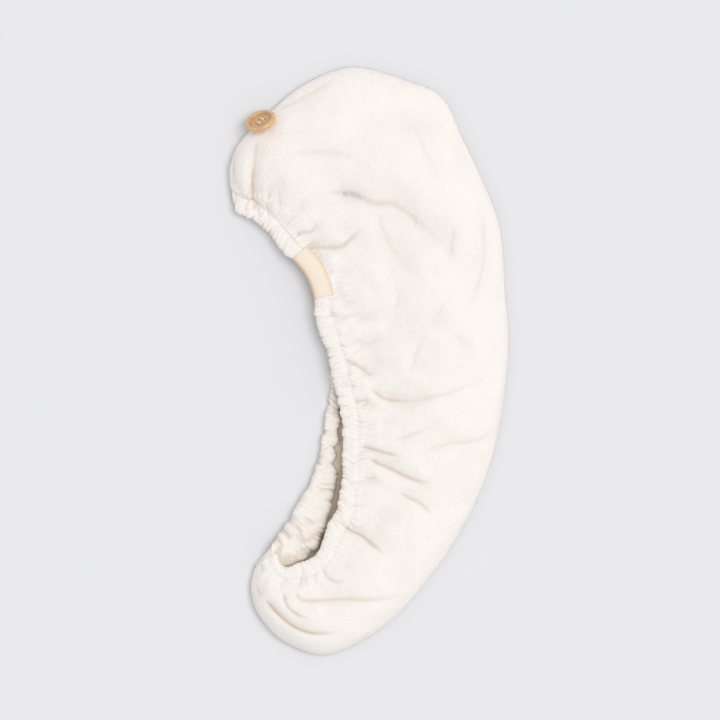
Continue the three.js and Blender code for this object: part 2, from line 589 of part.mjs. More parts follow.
// The thread: two bars across the dish, legs through the holes, and the wound shank behind the button.
function buttonThread(reach) {
  let body = post(shankDiameter + holeSpacing, -pieceGap - knotThickness, -pieceGap, smallFacets);
  body = body.add(post(shankDiameter, -reach, -pieceGap, smallFacets));
  const barHeight = dishFloor + pieceGap + threadDiameter / 2;
  for (const [x, y] of holePlaces) {
    body = body.add(post(threadDiameter, -pieceGap - knotThickness / 2, barHeight, smallFacets, x, y));
  }
  for (const side of [-1, 1]) {
    const y = (side * holeSpacing) / 2;
    const arch = new THREE.QuadraticBezierCurve3(
      new THREE.Vector3(-holeSpacing / 2, y, barHeight - threadDiameter / 4),
      new THREE.Vector3(0, y, barHeight + threadDiameter),
      new THREE.Vector3(holeSpacing / 2, y, barHeight - threadDiameter / 4),
    );
    const ring = new THREE.Shape().absarc(0, 0, threadDiameter / 2, 0, 2 * Math.PI);
    body = body.add(
      solidOf(new THREE.ExtrudeGeometry(ring, { steps: 6, curveSegments: 4, extrudePath: arch })),
    );
  }
  return geometryOf(body);
}

// Cloth points near the button's axis, as [distance from the axis, height along the axis]. They cover the
// share of the crescent at the button's end, from the seam inwards.
const nearButton = { from: 0.02, to: 0.3, step: 0.004, inwards: 0.6, inwardStep: 0.015 };
function clothAlong(axis, middle) {
  const found = [];
  for (let u = nearButton.from; u < nearButton.to; u += nearButton.step) {
    for (let v = 0; v < nearButton.inwards; v += nearButton.inwardStep) {
      const from = upperOutside(u, v, 1).sub(middle);
      const height = from.dot(axis);
      found.push([from.addScaledVector(axis, -height).length(), height]);
    }
  }
  return found;
}

function highestWithin(points, radius) {
  return Math.max(...points.filter(([distance]) => distance < radius).map(([, height]) => height));
}

function sewnButton() {
  const tilt = radians(buttonTilt);
  const heading = radians(buttonHeading);
  const axis = new THREE.Vector3(
    Math.sin(tilt) * Math.cos(heading),
    Math.sin(tilt) * Math.sin(heading),
    Math.cos(tilt),
  );
  const plan = new THREE.Vector3(buttonX * towelWidth, buttonY * towelLength, crownHeight / 2);
  const points = clothAlong(axis, plan);
  const seat = highestWithin(points, buttonDiameter / 2) + pieceGap + clothThickness / 2;
  const clothAtShank = highestWithin(points, shankDiameter / 2 + 1) + pieceGap;
  const group = new THREE.Group();
  group.position.copy(plan.addScaledVector(axis, Math.max(seat, clothAtShank + shankLength)));
  group.quaternion.setFromUnitVectors(new THREE.Vector3(0, 0, 1), axis);
  group.rotateZ(radians(buttonSpin));
  const reach = Math.max(seat, clothAtShank + shankLength) - clothAtShank;
  group.add(named("button", button(), wood));
  group.add(named("button_thread", buttonThread(reach), thread));
  return group;
}

// Colours and finishes
const plush = new THREE.MeshStandardMaterial({ color: 0xf7f1ea, roughness: 0.95, metalness: 0 });
const gathered = new THREE.MeshStandardMaterial({ color: 0xf5eee6, roughness: 0.95, metalness: 0 });
const woven = new THREE.MeshStandardMaterial({ color: 0xf6e2c9, roughness: 0.7, metalness: 0 });
const wood = new THREE.MeshStandardMaterial({ color: 0xd2a472, roughness: 0.5, metalness: 0 });
const thread = new THREE.MeshStandardMaterial({ color: 0xf0e2d2, roughness: 0.8, metalness: 0 });

function named(name, geometry, material) {
  const mesh = new THREE.Mesh(geometry, material);
  mesh.name = name;
  return mesh;
}

const towel = new THREE.Group();
towel.add(named("upper_panel", upperPanel(), plush));
towel.add(named("lower_panel", lowerPanel(), plush));
towel.add(named("mouth_hem", mouthHem(), gathered));
towel.add(named("woven_tab", wovenTab(), woven));
towel.add(sewnButton());

export default towel;
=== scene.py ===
"""A hair turban towel of cream plush, lying on a pale floor and seen from straight above.

The two plush panels, the gathered hem of the mouth and the folded tab are cloth, so their surfaces are
worked out from sections of the crescent and from the folds that lie across it. The button and its thread
are modelled with Blender's own tools. Lengths are in metres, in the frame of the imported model.
"""
import math

import bmesh
import bpy
import numpy as np
from mathutils import Matrix, Quaternion, Vector


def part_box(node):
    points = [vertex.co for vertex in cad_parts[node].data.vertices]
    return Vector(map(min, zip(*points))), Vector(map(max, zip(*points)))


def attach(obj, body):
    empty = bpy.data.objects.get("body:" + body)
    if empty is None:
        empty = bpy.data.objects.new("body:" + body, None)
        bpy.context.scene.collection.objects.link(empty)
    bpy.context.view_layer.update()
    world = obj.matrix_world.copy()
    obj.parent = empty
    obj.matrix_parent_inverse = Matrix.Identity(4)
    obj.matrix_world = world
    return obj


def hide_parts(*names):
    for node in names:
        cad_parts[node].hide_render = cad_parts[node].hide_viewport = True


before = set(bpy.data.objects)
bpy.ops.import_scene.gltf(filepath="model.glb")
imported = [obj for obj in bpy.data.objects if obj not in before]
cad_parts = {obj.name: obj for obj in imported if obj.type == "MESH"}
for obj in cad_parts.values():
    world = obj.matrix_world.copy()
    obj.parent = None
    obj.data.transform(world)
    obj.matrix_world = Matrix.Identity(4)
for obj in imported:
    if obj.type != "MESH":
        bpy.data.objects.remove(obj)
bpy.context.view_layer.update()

MM = 0.001

# Sizes of the towel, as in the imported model
TOWEL_LENGTH = 470 * MM
TOWEL_WIDTH = 223 * MM
CROWN_HEIGHT = 33 * MM
CLOTH = 2.2 * MM
PIECE_GAP = 0.3 * MM
HEM_WIDTH = 15 * MM
END_WIDTH = 10 * MM
HEM_THICKNESS = 5 * MM
HEM_FLOOR = 3.4 * MM
TAB_LENGTH = 37 * MM
TAB_PLACE = 0.224
TAB_THICKNESS = 0.45 * MM
TAB_CLEAR = 0.3 * MM
TAB_BEYOND = 0.13
BUTTON_THICKNESS = 4.6 * MM
BUTTON_TILT = math.radians(53)
BUTTON_HEADING = math.radians(112)
BUTTON_SPIN = math.radians(-23)
HOLE_DIAMETER = 2.4 * MM
HOLE_SPACING = 4.7 * MM

# The seam, a row for each section from the button's end to the lower end: x and y as shares of the towel's
# width and length, the seam's height and the panel's greatest height as shares of the crown's height, and how
# far in from the seam that height is reached.
SEAM = np.array([
    (-0.499, 0.294, 0.23, 0.30, 0.95),
    (-0.500, 0.328, 0.26, 0.62, 0.60),
    (-0.468, 0.368, 0.27, 0.76, 0.50),
    (-0.382, 0.410, 0.26, 0.84, 0.45),
    (-0.260, 0.461, 0.23, 0.88, 0.45),
    (-0.131, 0.492, 0.21, 0.92, 0.45),
    (-0.027, 0.498, 0.20, 0.96, 0.45),
    (0.124, 0.478, 0.20, 0.99, 0.45),
    (0.260, 0.448, 0.20, 1.00, 0.45),
    (0.339, 0.373, 0.20, 1.00, 0.45),
    (0.418, 0.293, 0.20, 1.00, 0.45),
    (0.471, 0.219, 0.20, 1.00, 0.45),
    (0.486, 0.120, 0.20, 1.00, 0.45),
    (0.499, 0.031, 0.20, 1.00, 0.45),
    (0.481, -0.067, 0.20, 0.99, 0.45),
    (0.439, -0.166, 0.20, 0.98, 0.45),
    (0.357, -0.264, 0.20, 0.96, 0.45),
    (0.228, -0.361, 0.20, 0.94, 0.45),
    (0.052, -0.452, 0.20, 0.92, 0.45),
    (-0.149, -0.499, 0.20, 0.90, 0.45),
    (-0.306, -0.477, 0.20, 0.86, 0.46),
    (-0.396, -0.433, 0.20, 0.74, 0.52),
    (-0.425, -0.390, 0.20, 0.50, 0.66),
    (-0.414, -0.354, 0.17, 0.22, 0.95),
])

# The mouth's upper and lower edges: x, y and height as shares, and in degrees the way in which the cloth runs
# from the edge, seen from above, and how far it slopes down.
UPPER_MOUTH = np.array([
    (-0.470, 0.251, 0.25, 84, 0),
    (-0.425, 0.241, 0.42, 66, 0),
    (-0.378, 0.224, 0.47, 52, 0),
    (-0.339, 0.203, 0.50, 46, 0),
    (-0.303, 0.181, 0.53, 43, 0),
    (-0.267, 0.164, 0.56, 40, 0),
    (-0.235, 0.145, 0.58, 33, 0),
    (-0.213, 0.122, 0.59, 23, 0),
    (-0.199, 0.096, 0.60, 15, 0),
    (-0.185, 0.059, 0.61, 18, 0),
    (-0.156, 0.018, 0.62, 15, 0),
    (-0.134, -0.023, 0.63, 13, 0),
    (-0.113, -0.069, 0.64, 10, 0),
    (-0.095, -0.115, 0.65, 3, 0),
    (-0.095, -0.162, 0.66, -1, 0),
    (-0.099, -0.207, 0.67, -8, 0),
    (-0.116, -0.249, 0.68, -20, 0),
    (-0.152, -0.280, 0.68, -25, 0),
    (-0.174, -0.314, 0.67, -34, 0),
    (-0.206, -0.334, 0.65, -64, 0),
    (-0.256, -0.344, 0.62, -82, 4),
    (-0.299, -0.351, 0.58, -96, 8),
    (-0.332, -0.343, 0.54, -112, 20),
    (-0.353, -0.323, 0.48, -128, 50),
])
LOWER_MOUTH = np.array([
    (-0.470, 0.251, 0.25, 84, 0),
    (-0.425, 0.242, 0.105, 66, 0),
    (-0.378, 0.226, 0.105, 52, 0),
    (-0.336, 0.206, 0.105, 46, 0),
    (-0.299, 0.184, 0.105, 43, 0),
    (-0.263, 0.167, 0.105, 40, 0),
    (-0.230, 0.147, 0.105, 33, 0),
    (-0.208, 0.123, 0.105, 22, 0),
    (-0.193, 0.096, 0.105, 16, 0),
    (-0.178, 0.060, 0.105, 16, 0),
    (-0.152, 0.020, 0.105, 12, 0),
    (-0.138, -0.015, 0.105, 2, 0),
    (-0.138, -0.050, 0.105, -6, 0),
    (-0.149, -0.085, 0.105, -9, 0),
    (-0.163, -0.121, 0.105, -11, 0),
    (-0.181, -0.158, 0.105, -15, 0),
    (-0.203, -0.194, 0.11, -22, 0),
    (-0.237, -0.229, 0.12, -29, 1),
    (-0.272, -0.258, 0.15, -34, 5),
    (-0.306, -0.282, 0.20, -40, 12),
    (-0.332, -0.300, 0.30, -56, 26),
    (-0.348, -0.310, 0.40, -84, 44),
    (-0.355, -0.316, 0.46, -112, 52),
    (-0.353, -0.323, 0.48, -128, 50),
])

# Folds are placed by pixels of the photograph's own frame, 720 wide, in which 0.8 mm is one pixel.
PIXEL = 0.8 * MM
CAMERA_HEIGHT = 4.0
PICTURE_MIDDLE = (369.5, 360.5)
CREASE_ROUND = 1.2 * MM

# Each fold is a valley that follows a path. Its columns are its name, its depth in millimetres, how far its
# slopes reach to the left and the right of the path, a power that is 1 for a sharp crease and 2 for a soft
# hollow, a tint, which is how strongly painted shade darkens its crease, the shares of its length over which
# it fades in and out, and the path.
FOLDS = (
    ("great fold", 3.2, 15, 7.5, 1.4, 0.35, (0.25, 0.25),
     [(318, 193), (348, 194), (360, 198), (368, 202), (377, 205), (392, 205), (410, 216), (428, 232),
      (445, 247), (453, 262)]),
    ("great fold's crease", 1.0, 5.0, 5.0, 1.4, 0.8, (0.2, 0.3),
     [(322, 194), (348, 194), (360, 198), (368, 202), (377, 205), (392, 205), (410, 216), (428, 232)]),
    ("great fold's branch", 2.2, 9, 9, 1.6, 0.35, (0.2, 0.5),
     [(377, 207), (385, 235), (402, 262), (432, 288)]),
    ("hollow along the seam", 2.2, 8, 7, 1.8, 0.3, (0.3, 0.3),
     [(478, 200), (483, 235), (481, 271), (467, 316)]),
    ("dent beside it", 2.2, 5, 5, 1.5, 0.4, (0.35, 0.35), [(454, 222), (452, 240), (449, 264)]),
    ("broad hollow below the button", 3.2, 7, 5, 1.6, 0.5, (0.25, 0.1),
     [(259, 136), (256, 155), (254, 175), (254, 198)]),
    ("crease below the button", 3.0, 2.4, 1.8, 1.0, 1.0, (0.35, 0.1),
     [(256, 158), (253, 175), (252.5, 190), (254, 206), (256, 214)]),
    ("line inside the left edge", 0.6, 1.8, 1.8, 1.2, 0.85, (0.2, 0.2),
     [(244, 134), (237, 150), (234, 166), (235, 183)]),
    ("second hollow there", 1.6, 6, 6, 1.6, 0.3, (0.35, 0.2), [(277, 178), (280, 195), (281, 212)]),
    ("pleat along the seam", 0.8, 1.8, 4.5, 1.2, 0.35, (0.2, 0.3),
     [(273, 113), (284, 108), (299, 101), (318, 90), (340, 76)]),
    ("line under the button", 0.35, 2.5, 3.5, 1.3, 0.12, (0.3, 0.3),
     [(262, 134), (290, 135), (322, 135), (345, 137)]),
    ("left pleat of the hem's end", 2.6, 2.4, 2.0, 1.1, 0.9, (0.3, 0.2),
     [(252, 196), (250, 203), (247, 209), (247, 215)]),
    ("right pleat of the hem's end", 2.4, 2.0, 2.4, 1.1, 0.8, (0.3, 0.2),
     [(254, 197), (256, 204), (259, 211), (261, 219)]),
    ("pleat at the corner", 1.8, 2.2, 2.2, 1.2, 0.6, (0.3, 0.3), [(236, 192), (238, 200), (241, 208)]),
    ("pleat beyond the corner", 1.6, 2.4, 2.4, 1.2, 0.6, (0.3, 0.2), [(266, 200), (268, 209), (270, 220)]),
    ("soft hollow under the crown", 1.8, 8, 9, 1.8, 0.3, (0.3, 0.35),
     [(286, 157), (310, 154), (338, 155), (364, 160)]),
    ("hollow on the crown", 1.6, 10, 12, 1.9, 0.2, (0.35, 0.35),
     [(392, 108), (416, 132), (428, 160), (446, 190)]),
    ("pucker above the tab", 1.0, 2.8, 2.8, 1.2, 0.3, (0.2, 0.4), [(286, 228), (292, 220), (300, 215)]),
    ("curl above the tab", 1.6, 2.4, 4.6, 1.1, 0.65, (0.15, 0.4),
     [(294, 236), (303, 233), (311, 232), (316, 227), (320, 221)]),
    ("crease from the tab", 1.9, 3.0, 6.0, 1.0, 0.8, (0.08, 0.35),
     [(306, 248), (324, 248), (341, 247), (350, 240), (357, 234), (366, 226)]),
    ("soft fold below the tab", 1.2, 6, 6, 1.6, 0.25, (0.3, 0.35), [(345, 312), (360, 318), (384, 319)]),
    ("hollow below the tab", 1.6, 7, 7, 1.6, 0.3, (0.35, 0.35), [(350, 336), (368, 343), (386, 334)]),
    ("upright dent", 1.2, 5, 5, 1.7, 0.25, (0.4, 0.4), [(394, 282), (398, 298), (397, 316)]),
    ("dent in the middle", 1.6, 7, 6, 1.7, 0.25, (0.4, 0.4), [(446, 300), (436, 318), (428, 335)]),
    ("long dent", 1.8, 7, 6, 1.7, 0.3, (0.4, 0.4), [(424, 335), (416, 355), (410, 378)]),
    ("small dent to the right", 1.3, 6, 6, 1.7, 0.25, (0.4, 0.4), [(452, 330), (462, 342), (474, 348)]),
    ("crease at mid mouth", 2.0, 2.6, 3.6, 1.0, 0.9, (0.2, 0.25),
     [(343, 357), (350, 362), (360, 367), (370, 374), (377, 376)]),
    ("dash beside the mouth", 1.6, 2.4, 2.4, 1.0, 0.8, (0.2, 0.3), [(352, 402), (360, 401), (370, 399)]),
    ("long fold to the seam", 1.9, 7, 4, 1.3, 0.4, (0.06, 0.6),
     [(370, 385), (376, 393), (384, 398), (400, 401), (428, 398), (454, 391), (481, 380), (500, 370)]),
    ("long fold's crease", 1.4, 2.4, 2.2, 1.1, 1.0, (0.2, 0.5),
     [(371, 387), (376, 393), (384, 398), (400, 401), (420, 400)]),
    ("faint fold", 1.2, 4, 5, 1.3, 0.4, (0.3, 0.4), [(390, 441), (410, 435), (434, 425)]),
    ("fold that meets the seam", 1.7, 6, 5, 1.4, 0.4, (0.3, 0.4),
     [(416, 457), (430, 448), (450, 443), (481, 438), (500, 418)]),
    ("upper of two creases", 2.0, 3.0, 2.6, 1.0, 1.0, (0.15, 0.35),
     [(359, 445), (370, 448), (384, 452), (402, 456)]),
    ("lower of two creases", 2.6, 4.5, 2.6, 1.05, 1.0, (0.12, 0.35),
     [(368, 456), (376, 462), (388, 467), (406, 476), (420, 481), (436, 481)]),
    ("short crease by the mouth", 1.1, 2.5, 2.5, 1.1, 0.5, (0.3, 0.3),
     [(362, 478), (370, 478), (378, 475)]),
    ("slanting crease", 2.0, 4.2, 2.4, 1.05, 0.8, (0.25, 0.25),
     [(396, 490), (407, 496), (419, 502), (433, 514)]),
    ("deep slanting crease", 3.6, 5.5, 3.0, 1.0, 1.0, (0.15, 0.4),
     [(336, 516), (343, 524), (351, 530), (362, 535), (374, 545), (390, 557)]),
    ("hook by the mouth's end", 1.5, 2.4, 3.2, 1.1, 0.6, (0.3, 0.4),
     [(321, 556), (323, 566), (328, 576), (336, 580), (350, 580)]),
    ("pleat by the mouth's end", 1.4, 2.4, 2.4, 1.1, 0.6, (0.2, 0.4), [(303, 563), (303, 574), (298, 590)]),
    ("level fold near the end", 2.2, 7, 3.6, 1.15, 0.6, (0.06, 0.45),
     [(297, 588), (299, 596), (310, 599.5), (345, 598), (380, 598), (412, 592)]),
    ("curl at the end", 2.0, 3.4, 3.0, 1.05, 0.8, (0.2, 0.35),
     [(284, 588), (286, 600), (291, 608), (300, 614), (311, 617)]),
    ("deep crease round the end", 3.2, 5.0, 3.4, 1.05, 1.0, (0.15, 0.4),
     [(263, 595), (269, 602), (276, 610), (287, 620), (300, 628), (318, 632), (345, 630)]),
    ("dimple on the end", 1.4, 3.0, 3.0, 1.3, 0.5, (0.3, 0.3), [(262, 562), (262, 567), (264, 572)]),
    ("second dimple on the end", 1.3, 3.0, 3.0, 1.3, 0.5, (0.3, 0.3), [(257, 584), (259, 590), (263, 595)]),
)

# The back of the hem rolls over and shows in the mouth as a ruffled band. For each row of LOWER_MOUTH, its
# width and thickness in millimetres, and how much of the row's dip it keeps.
BACK_BAND = np.array([
    *[(15, 5.0, 1.0)] * 9,
    (14, 5.5, 1.0),
    (13, 6.0, 1.0),
    (12, 6.5, 1.0),
    (11, 7.0, 1.0),
    (10.5, 7.5, 1.0),
    (11, 8.0, 1.0),
    (13, 9.0, 1.0),
    (20, 10.5, 0.5),
    (24, 11.5, 0.2),
    (30, 12.0, 0.0),
    (31, 11.5, 0.0),
    (27, 10.5, 0.2),
    (20, 9.0, 0.5),
    (14, 7.0, 0.8),
    (10, 5.0, 1.0),
])

# The button's section, from its back over the rim to the dish: radius and height in millimetres
BUTTON_RINGS = ((9.0, 0.0), (11.4, 0.6), (12.3, 1.7), (12.5, 2.6), (12.3, 3.5), (11.75, 4.3), (11.0, 4.6),
                (10.2, 4.45), (9.6, 4.0), (9.1, 3.4), (8.6, 2.75), (8.1, 2.35), (7.5, 2.2), (6.9, 2.2))

# Colours of the cloth: its own colour in the light, and the painted shade that darkens it deep in a fold or,
# warmer, inside
PLUSH_LIGHT = (0.975, 0.917, 0.873)
PLUSH_PAINTED_SHADE = (0.58, 0.44, 0.31)
LINING_PAINTED_SHADE = (0.98, 0.85, 0.68)

# How finely the surfaces are divided
PANEL_COLUMNS = 620
PANEL_ROWS = 132
LOWER_ROWS = 70
HEM_STATIONS = 780
HEM_HALF = 16
TAB_ALONG = 60
TAB_AROUND = 40


def along_table(table, u):
    """The columns of a table at each u, from 0 at the first row to 1 at the last, on a smooth curve."""
    count = len(table)
    place = np.clip(u, 0, 1) * (count - 1)
    i = np.minimum(np.floor(place).astype(int), count - 2)
    t = (place - i)[:, None]
    b = table[i]
    c = table[i + 1]
    a = np.where((i > 0)[:, None], table[np.maximum(i - 1, 0)], 2 * b - c)
    d = np.where((i < count - 2)[:, None], table[np.minimum(i + 2, count - 1)], 2 * c - b)
    return b + 0.5 * t * (c - a + t * (2 * a - 5 * b + 4 * c - d + t * (3 * (b - c) + d - a)))


def smooth(x):
    x = np.clip(x, 0, 1)
    return x * x * (3 - 2 * x)


def seam_at(u):
    x, y, height, crown, crown_at = along_table(SEAM, u).T
    return x * TOWEL_WIDTH, y * TOWEL_LENGTH, height * CROWN_HEIGHT, crown * CROWN_HEIGHT, crown_at


def mouth_at(table, u):
    """The mouth's edge at each u, the way in which the hem runs into the cloth, and up, square to it."""
    x, y, height, heading, dip = along_table(table, u).T
    from_end = np.clip(np.minimum(u, 1 - u) * (len(table) - 1), 1e-6, 1)
    end_height = np.where(u < 0.5, table[0, 2], table[-1, 2])
    turned = end_height + (height - end_height) * np.sqrt(from_end * (2 - from_end)) / from_end
    z = np.maximum(np.where(from_end < 1, turned, height) * CROWN_HEIGHT, HEM_FLOOR)
    steepest = np.arcsin(np.minimum(1, (z - HEM_FLOOR) / HEM_WIDTH))
    dip = np.minimum(np.radians(dip), steepest)
    heading = np.radians(heading)
    edge = np.stack([x * TOWEL_WIDTH, y * TOWEL_LENGTH, z], axis=-1)
    into = np.stack([np.cos(dip) * np.cos(heading), np.cos(dip) * np.sin(heading), -np.sin(dip)], axis=-1)
    up = np.stack([np.sin(dip) * np.cos(heading), np.sin(dip) * np.sin(heading), np.cos(dip)], axis=-1)
    return edge, into, up


def near_end(u):
    return 1 - smooth(np.minimum(u, 1 - u) / 0.06)


def wall_at(u):
    return CLOTH * (1 - 0.4 * near_end(u))


def even_places(table, count, weight=0.0):
    """Places of u that divide the mouth's edge evenly, or with a weight the edge and the seam together."""
    u, total = edge_lengths(table, weight)
    return np.interp(np.linspace(0, total[-1], count), total, u)


def edge_lengths(table, weight=0.0):
    """The length of the mouth's edge up to each of many places of u, with a share of the seam's added."""
    u = np.linspace(0, 1, 4001)
    edge, _, _ = mouth_at(table, u)
    seam_x, seam_y, _, _, _ = seam_at(u)
    lengths = np.linalg.norm(np.diff(edge, axis=0), axis=1)
    lengths = lengths + weight * np.hypot(np.diff(seam_x), np.diff(seam_y))
    return u, np.concatenate([[0], np.cumsum(lengths)])


UPPER_EDGE = edge_lengths(UPPER_MOUTH)
LOWER_EDGE = edge_lengths(LOWER_MOUTH)


def hilly(x, y, scale, seed):
    """Smooth uneven ground from -1 to 1, with hills about one scale apart."""
    rng = np.random.default_rng(seed)
    lattice = rng.uniform(-1, 1, (64, 64))
    px = x / scale
    py = y / scale
    ix = np.floor(px).astype(int)
    iy = np.floor(py).astype(int)
    tx = smooth(px - ix)
    ty = smooth(py - iy)
    low = lattice[ix % 64, iy % 64] * (1 - tx) + lattice[(ix + 1) % 64, iy % 64] * tx
    high = lattice[ix % 64, (iy + 1) % 64] * (1 - tx) + lattice[(ix + 1) % 64, (iy + 1) % 64] * tx
    return low * (1 - ty) + high * ty


def nearest_on_edge(edge_line, x, y):
    """For points of the plan, the length along an edge to its nearest point, and how far away that is."""
    line, walked = edge_line
    step = np.diff(line, axis=0)
    step_length = np.hypot(step[:, 0], step[:, 1])
    px = x.ravel()
    py = y.ravel()
    length = np.empty(px.shape)
    away = np.empty(px.shape)
    for begin in range(0, px.size, 6000):
        part = slice(begin, begin + 6000)
        dx = px[part, None] - line[None, :-1, 0]
        dy = py[part, None] - line[None, :-1, 1]
        t = np.clip((dx * step[:, 0] + dy * step[:, 1]) / step_length**2, 0, 1)
        distance = np.hypot(dx - t * step[:, 0], dy - t * step[:, 1])
        best = np.argmin(distance, axis=1)
        rows = np.arange(best.size)
        length[part] = walked[best] + t[rows, best] * step_length[best]
        away[part] = distance[rows, best]
    return length.reshape(x.shape), away.reshape(x.shape)


def edge_line(table, count=260):
    """The mouth's edge in plan, as points and the length up to each."""
    u = np.linspace(0, 1, count)
    edge, _, _ = mouth_at(table, u)
    line = edge[:, :2]
    walked = np.concatenate([[0], np.cumsum(np.hypot(*np.diff(line, axis=0).T))])
    return line, walked


def softened(values, rounds):
    """Values on a grid, averaged with their neighbours."""
    for _ in range(rounds):
        padded = np.pad(values, 1, mode="edge")
        beside = padded[2:, 1:-1] + padded[:-2, 1:-1] + padded[1:-1, 2:] + padded[1:-1, :-2]
        values = 0.5 * values + 0.125 * beside
    return values


def ribs(length, period, seed, across=0.0):
    """Gathers along an edge, from -1 in the narrow valleys to 1 on the round crests."""
    unsteady = 0.55 * hilly(length, across, 2.6 * period, seed)
    unsteady = unsteady + 0.25 * hilly(length, across, 9 * period, seed + 1)
    phase = length / period + unsteady
    strength = 0.72 + 0.38 * hilly(length, across * 0.5, 3.4 * period, seed + 2)
    return strength * (2 * np.abs(np.sin(math.pi * phase)) ** 0.75 - 1)


def fold_path(points, steps=40):
    """A fold's path as a smooth curve through its points, in metres."""
    table = np.array(points, dtype=float)
    x = (table[:, 0] - PICTURE_MIDDLE[0]) * PIXEL
    y = (PICTURE_MIDDLE[1] - table[:, 1]) * PIXEL
    return along_table(np.stack([x, y], axis=-1), np.linspace(0, 1, steps))


def fold_field(x, y):
    """How far the folds sink the cloth at each point of the plan, and how much painted shade they put on it.
    """
    sink = np.zeros(x.shape)
    shade = np.zeros(x.shape)
    for _, depth, left, right, power, tint, (start_fade, end_fade), points in FOLDS:
        path = fold_path(points)
        widest = max(left, right) * MM
        reach = 2.6 * widest
        low = path.min(axis=0) - reach
        high = path.max(axis=0) + reach
        close = np.nonzero((x > low[0]) & (x < high[0]) & (y > low[1]) & (y < high[1]))
        px = x[close]
        py = y[close]
        best = np.full(px.shape, np.inf)
        side = np.zeros(px.shape)
        share = np.zeros(px.shape)
        steps = np.diff(path, axis=0)
        lengths = np.hypot(steps[:, 0], steps[:, 1])
        total = lengths.sum()
        walked = 0.0
        for start, step, length in zip(path[:-1], steps, lengths):
            t = np.clip(((px - start[0]) * step[0] + (py - start[1]) * step[1]) / length**2, 0, 1)
            dx = px - start[0] - t * step[0]
            dy = py - start[1] - t * step[1]
            away = np.hypot(dx, dy)
            nearer = away < best
            best = np.where(nearer, away, best)
            side = np.where(nearer, step[0] * dy - step[1] * dx, side)
            share = np.where(nearer, (walked + t * length) / total, share)
            walked += length
        slope = np.where(side > 0, left, right) * MM
        fade = smooth(share / start_fade) * smooth((1 - share) / end_fade)
        fade = np.maximum(fade, 0)
        rounded = np.sqrt(best**2 + CREASE_ROUND**2) - CREASE_ROUND
        shape = np.exp(-((rounded / slope) ** power)) * fade
        sink[close] += depth * MM * shape
        # Painted shade: a narrow darker line along the crease, as strong as the fold's tint.
        tight = np.exp(-((best / (0.2 * slope + 0.4 * MM)) ** 1.3)) * fade
        shade[close] = np.maximum(shade[close], 0.85 * tint * tight)
    return sink, shade


LAP = 4.0 * MM
LAP_DIP = 0.18 * MM
PANEL_DIP = 0.65 * MM
INTO_HEM = 0.65
TAB_PINCH = 1.6 * MM
END_REACH = 9.0 * MM
HEM_DROOP = 3.6 * MM
PILE_SIZE = 1.4 * MM


def hem_ribs(length, from_edge):
    """The gathers of the front hem and of the cloth next to it, fine ones and wider ones."""
    slant = length + 0.35 * hilly(from_edge, length * 0.2, 9 * MM, 14) * 9 * MM
    fine = ribs(slant, 3.2 * MM, 11, from_edge * 1.2) * 0.42 * MM
    fine = fine + hilly(slant / 0.0017, from_edge / 0.006, 1, 15) * 0.42 * MM
    merged = ribs(slant, 8.3 * MM, 12, from_edge * 0.8) * 0.36 * MM
    merged = merged + hilly(slant / 0.0045, from_edge / 0.012, 1, 16) * 0.55 * MM
    return fine, merged


def front_width(u, begins=0.80, over=0.16):
    """The hem's width at each u, narrower towards the lower end. The front's narrows sooner."""
    return HEM_WIDTH - (HEM_WIDTH - END_WIDTH) * smooth((u - begins) / over)


def fold_share(length):
    """How much of a fold runs on into the hem at each length along it: none under the tab."""
    return INTO_HEM * (1 - tab_calm(length))


def quarter_round(x):
    return (1 - (1 - np.clip(x, 0, 1)) ** 1.7) ** (1 / 1.7)


def row_shares(count, at_seam, at_hem):
    """Shares of the way from the seam to the hem, closer together towards both."""
    x = np.linspace(0, 1, 2001)
    density = 1 + at_hem * np.exp(-(1 - x) / 0.12) + at_seam * np.exp(-x / 0.045)
    total = np.concatenate([[0], np.cumsum((density[1:] + density[:-1]) / 2)])
    return np.interp(np.linspace(0, total[-1], count), total, x)


def panel_plan(table, u, v, away_sign):
    """The plan of a panel's points, how far they are from the seam and the hem, and the stitched edge."""
    seam_x, seam_y, seam_z, crown, crown_at = seam_at(u)
    edge, into, up = mouth_at(table, u)
    hem_width = front_width(u) if away_sign > 0 else front_width(u, 0.9, 0.1)
    stitch = edge + into * (hem_width - LAP)[:, None]
    away = up if away_sign > 0 else np.broadcast_to([0.0, 0.0, -1.0], up.shape)
    stitch = stitch + away * ((wall_at(u) + near_end(u) * (wall_at(u) + PIECE_GAP)) / 2)[:, None]
    across_x = stitch[:, 0] - seam_x
    across_y = stitch[:, 1] - seam_y
    width = np.hypot(across_x, across_y)
    x = seam_x[:, None] + across_x[:, None] * v
    y = seam_y[:, None] + across_y[:, None] * v
    return x, y, v * width[:, None], (1 - v) * width[:, None], stitch, seam_z, crown, crown_at


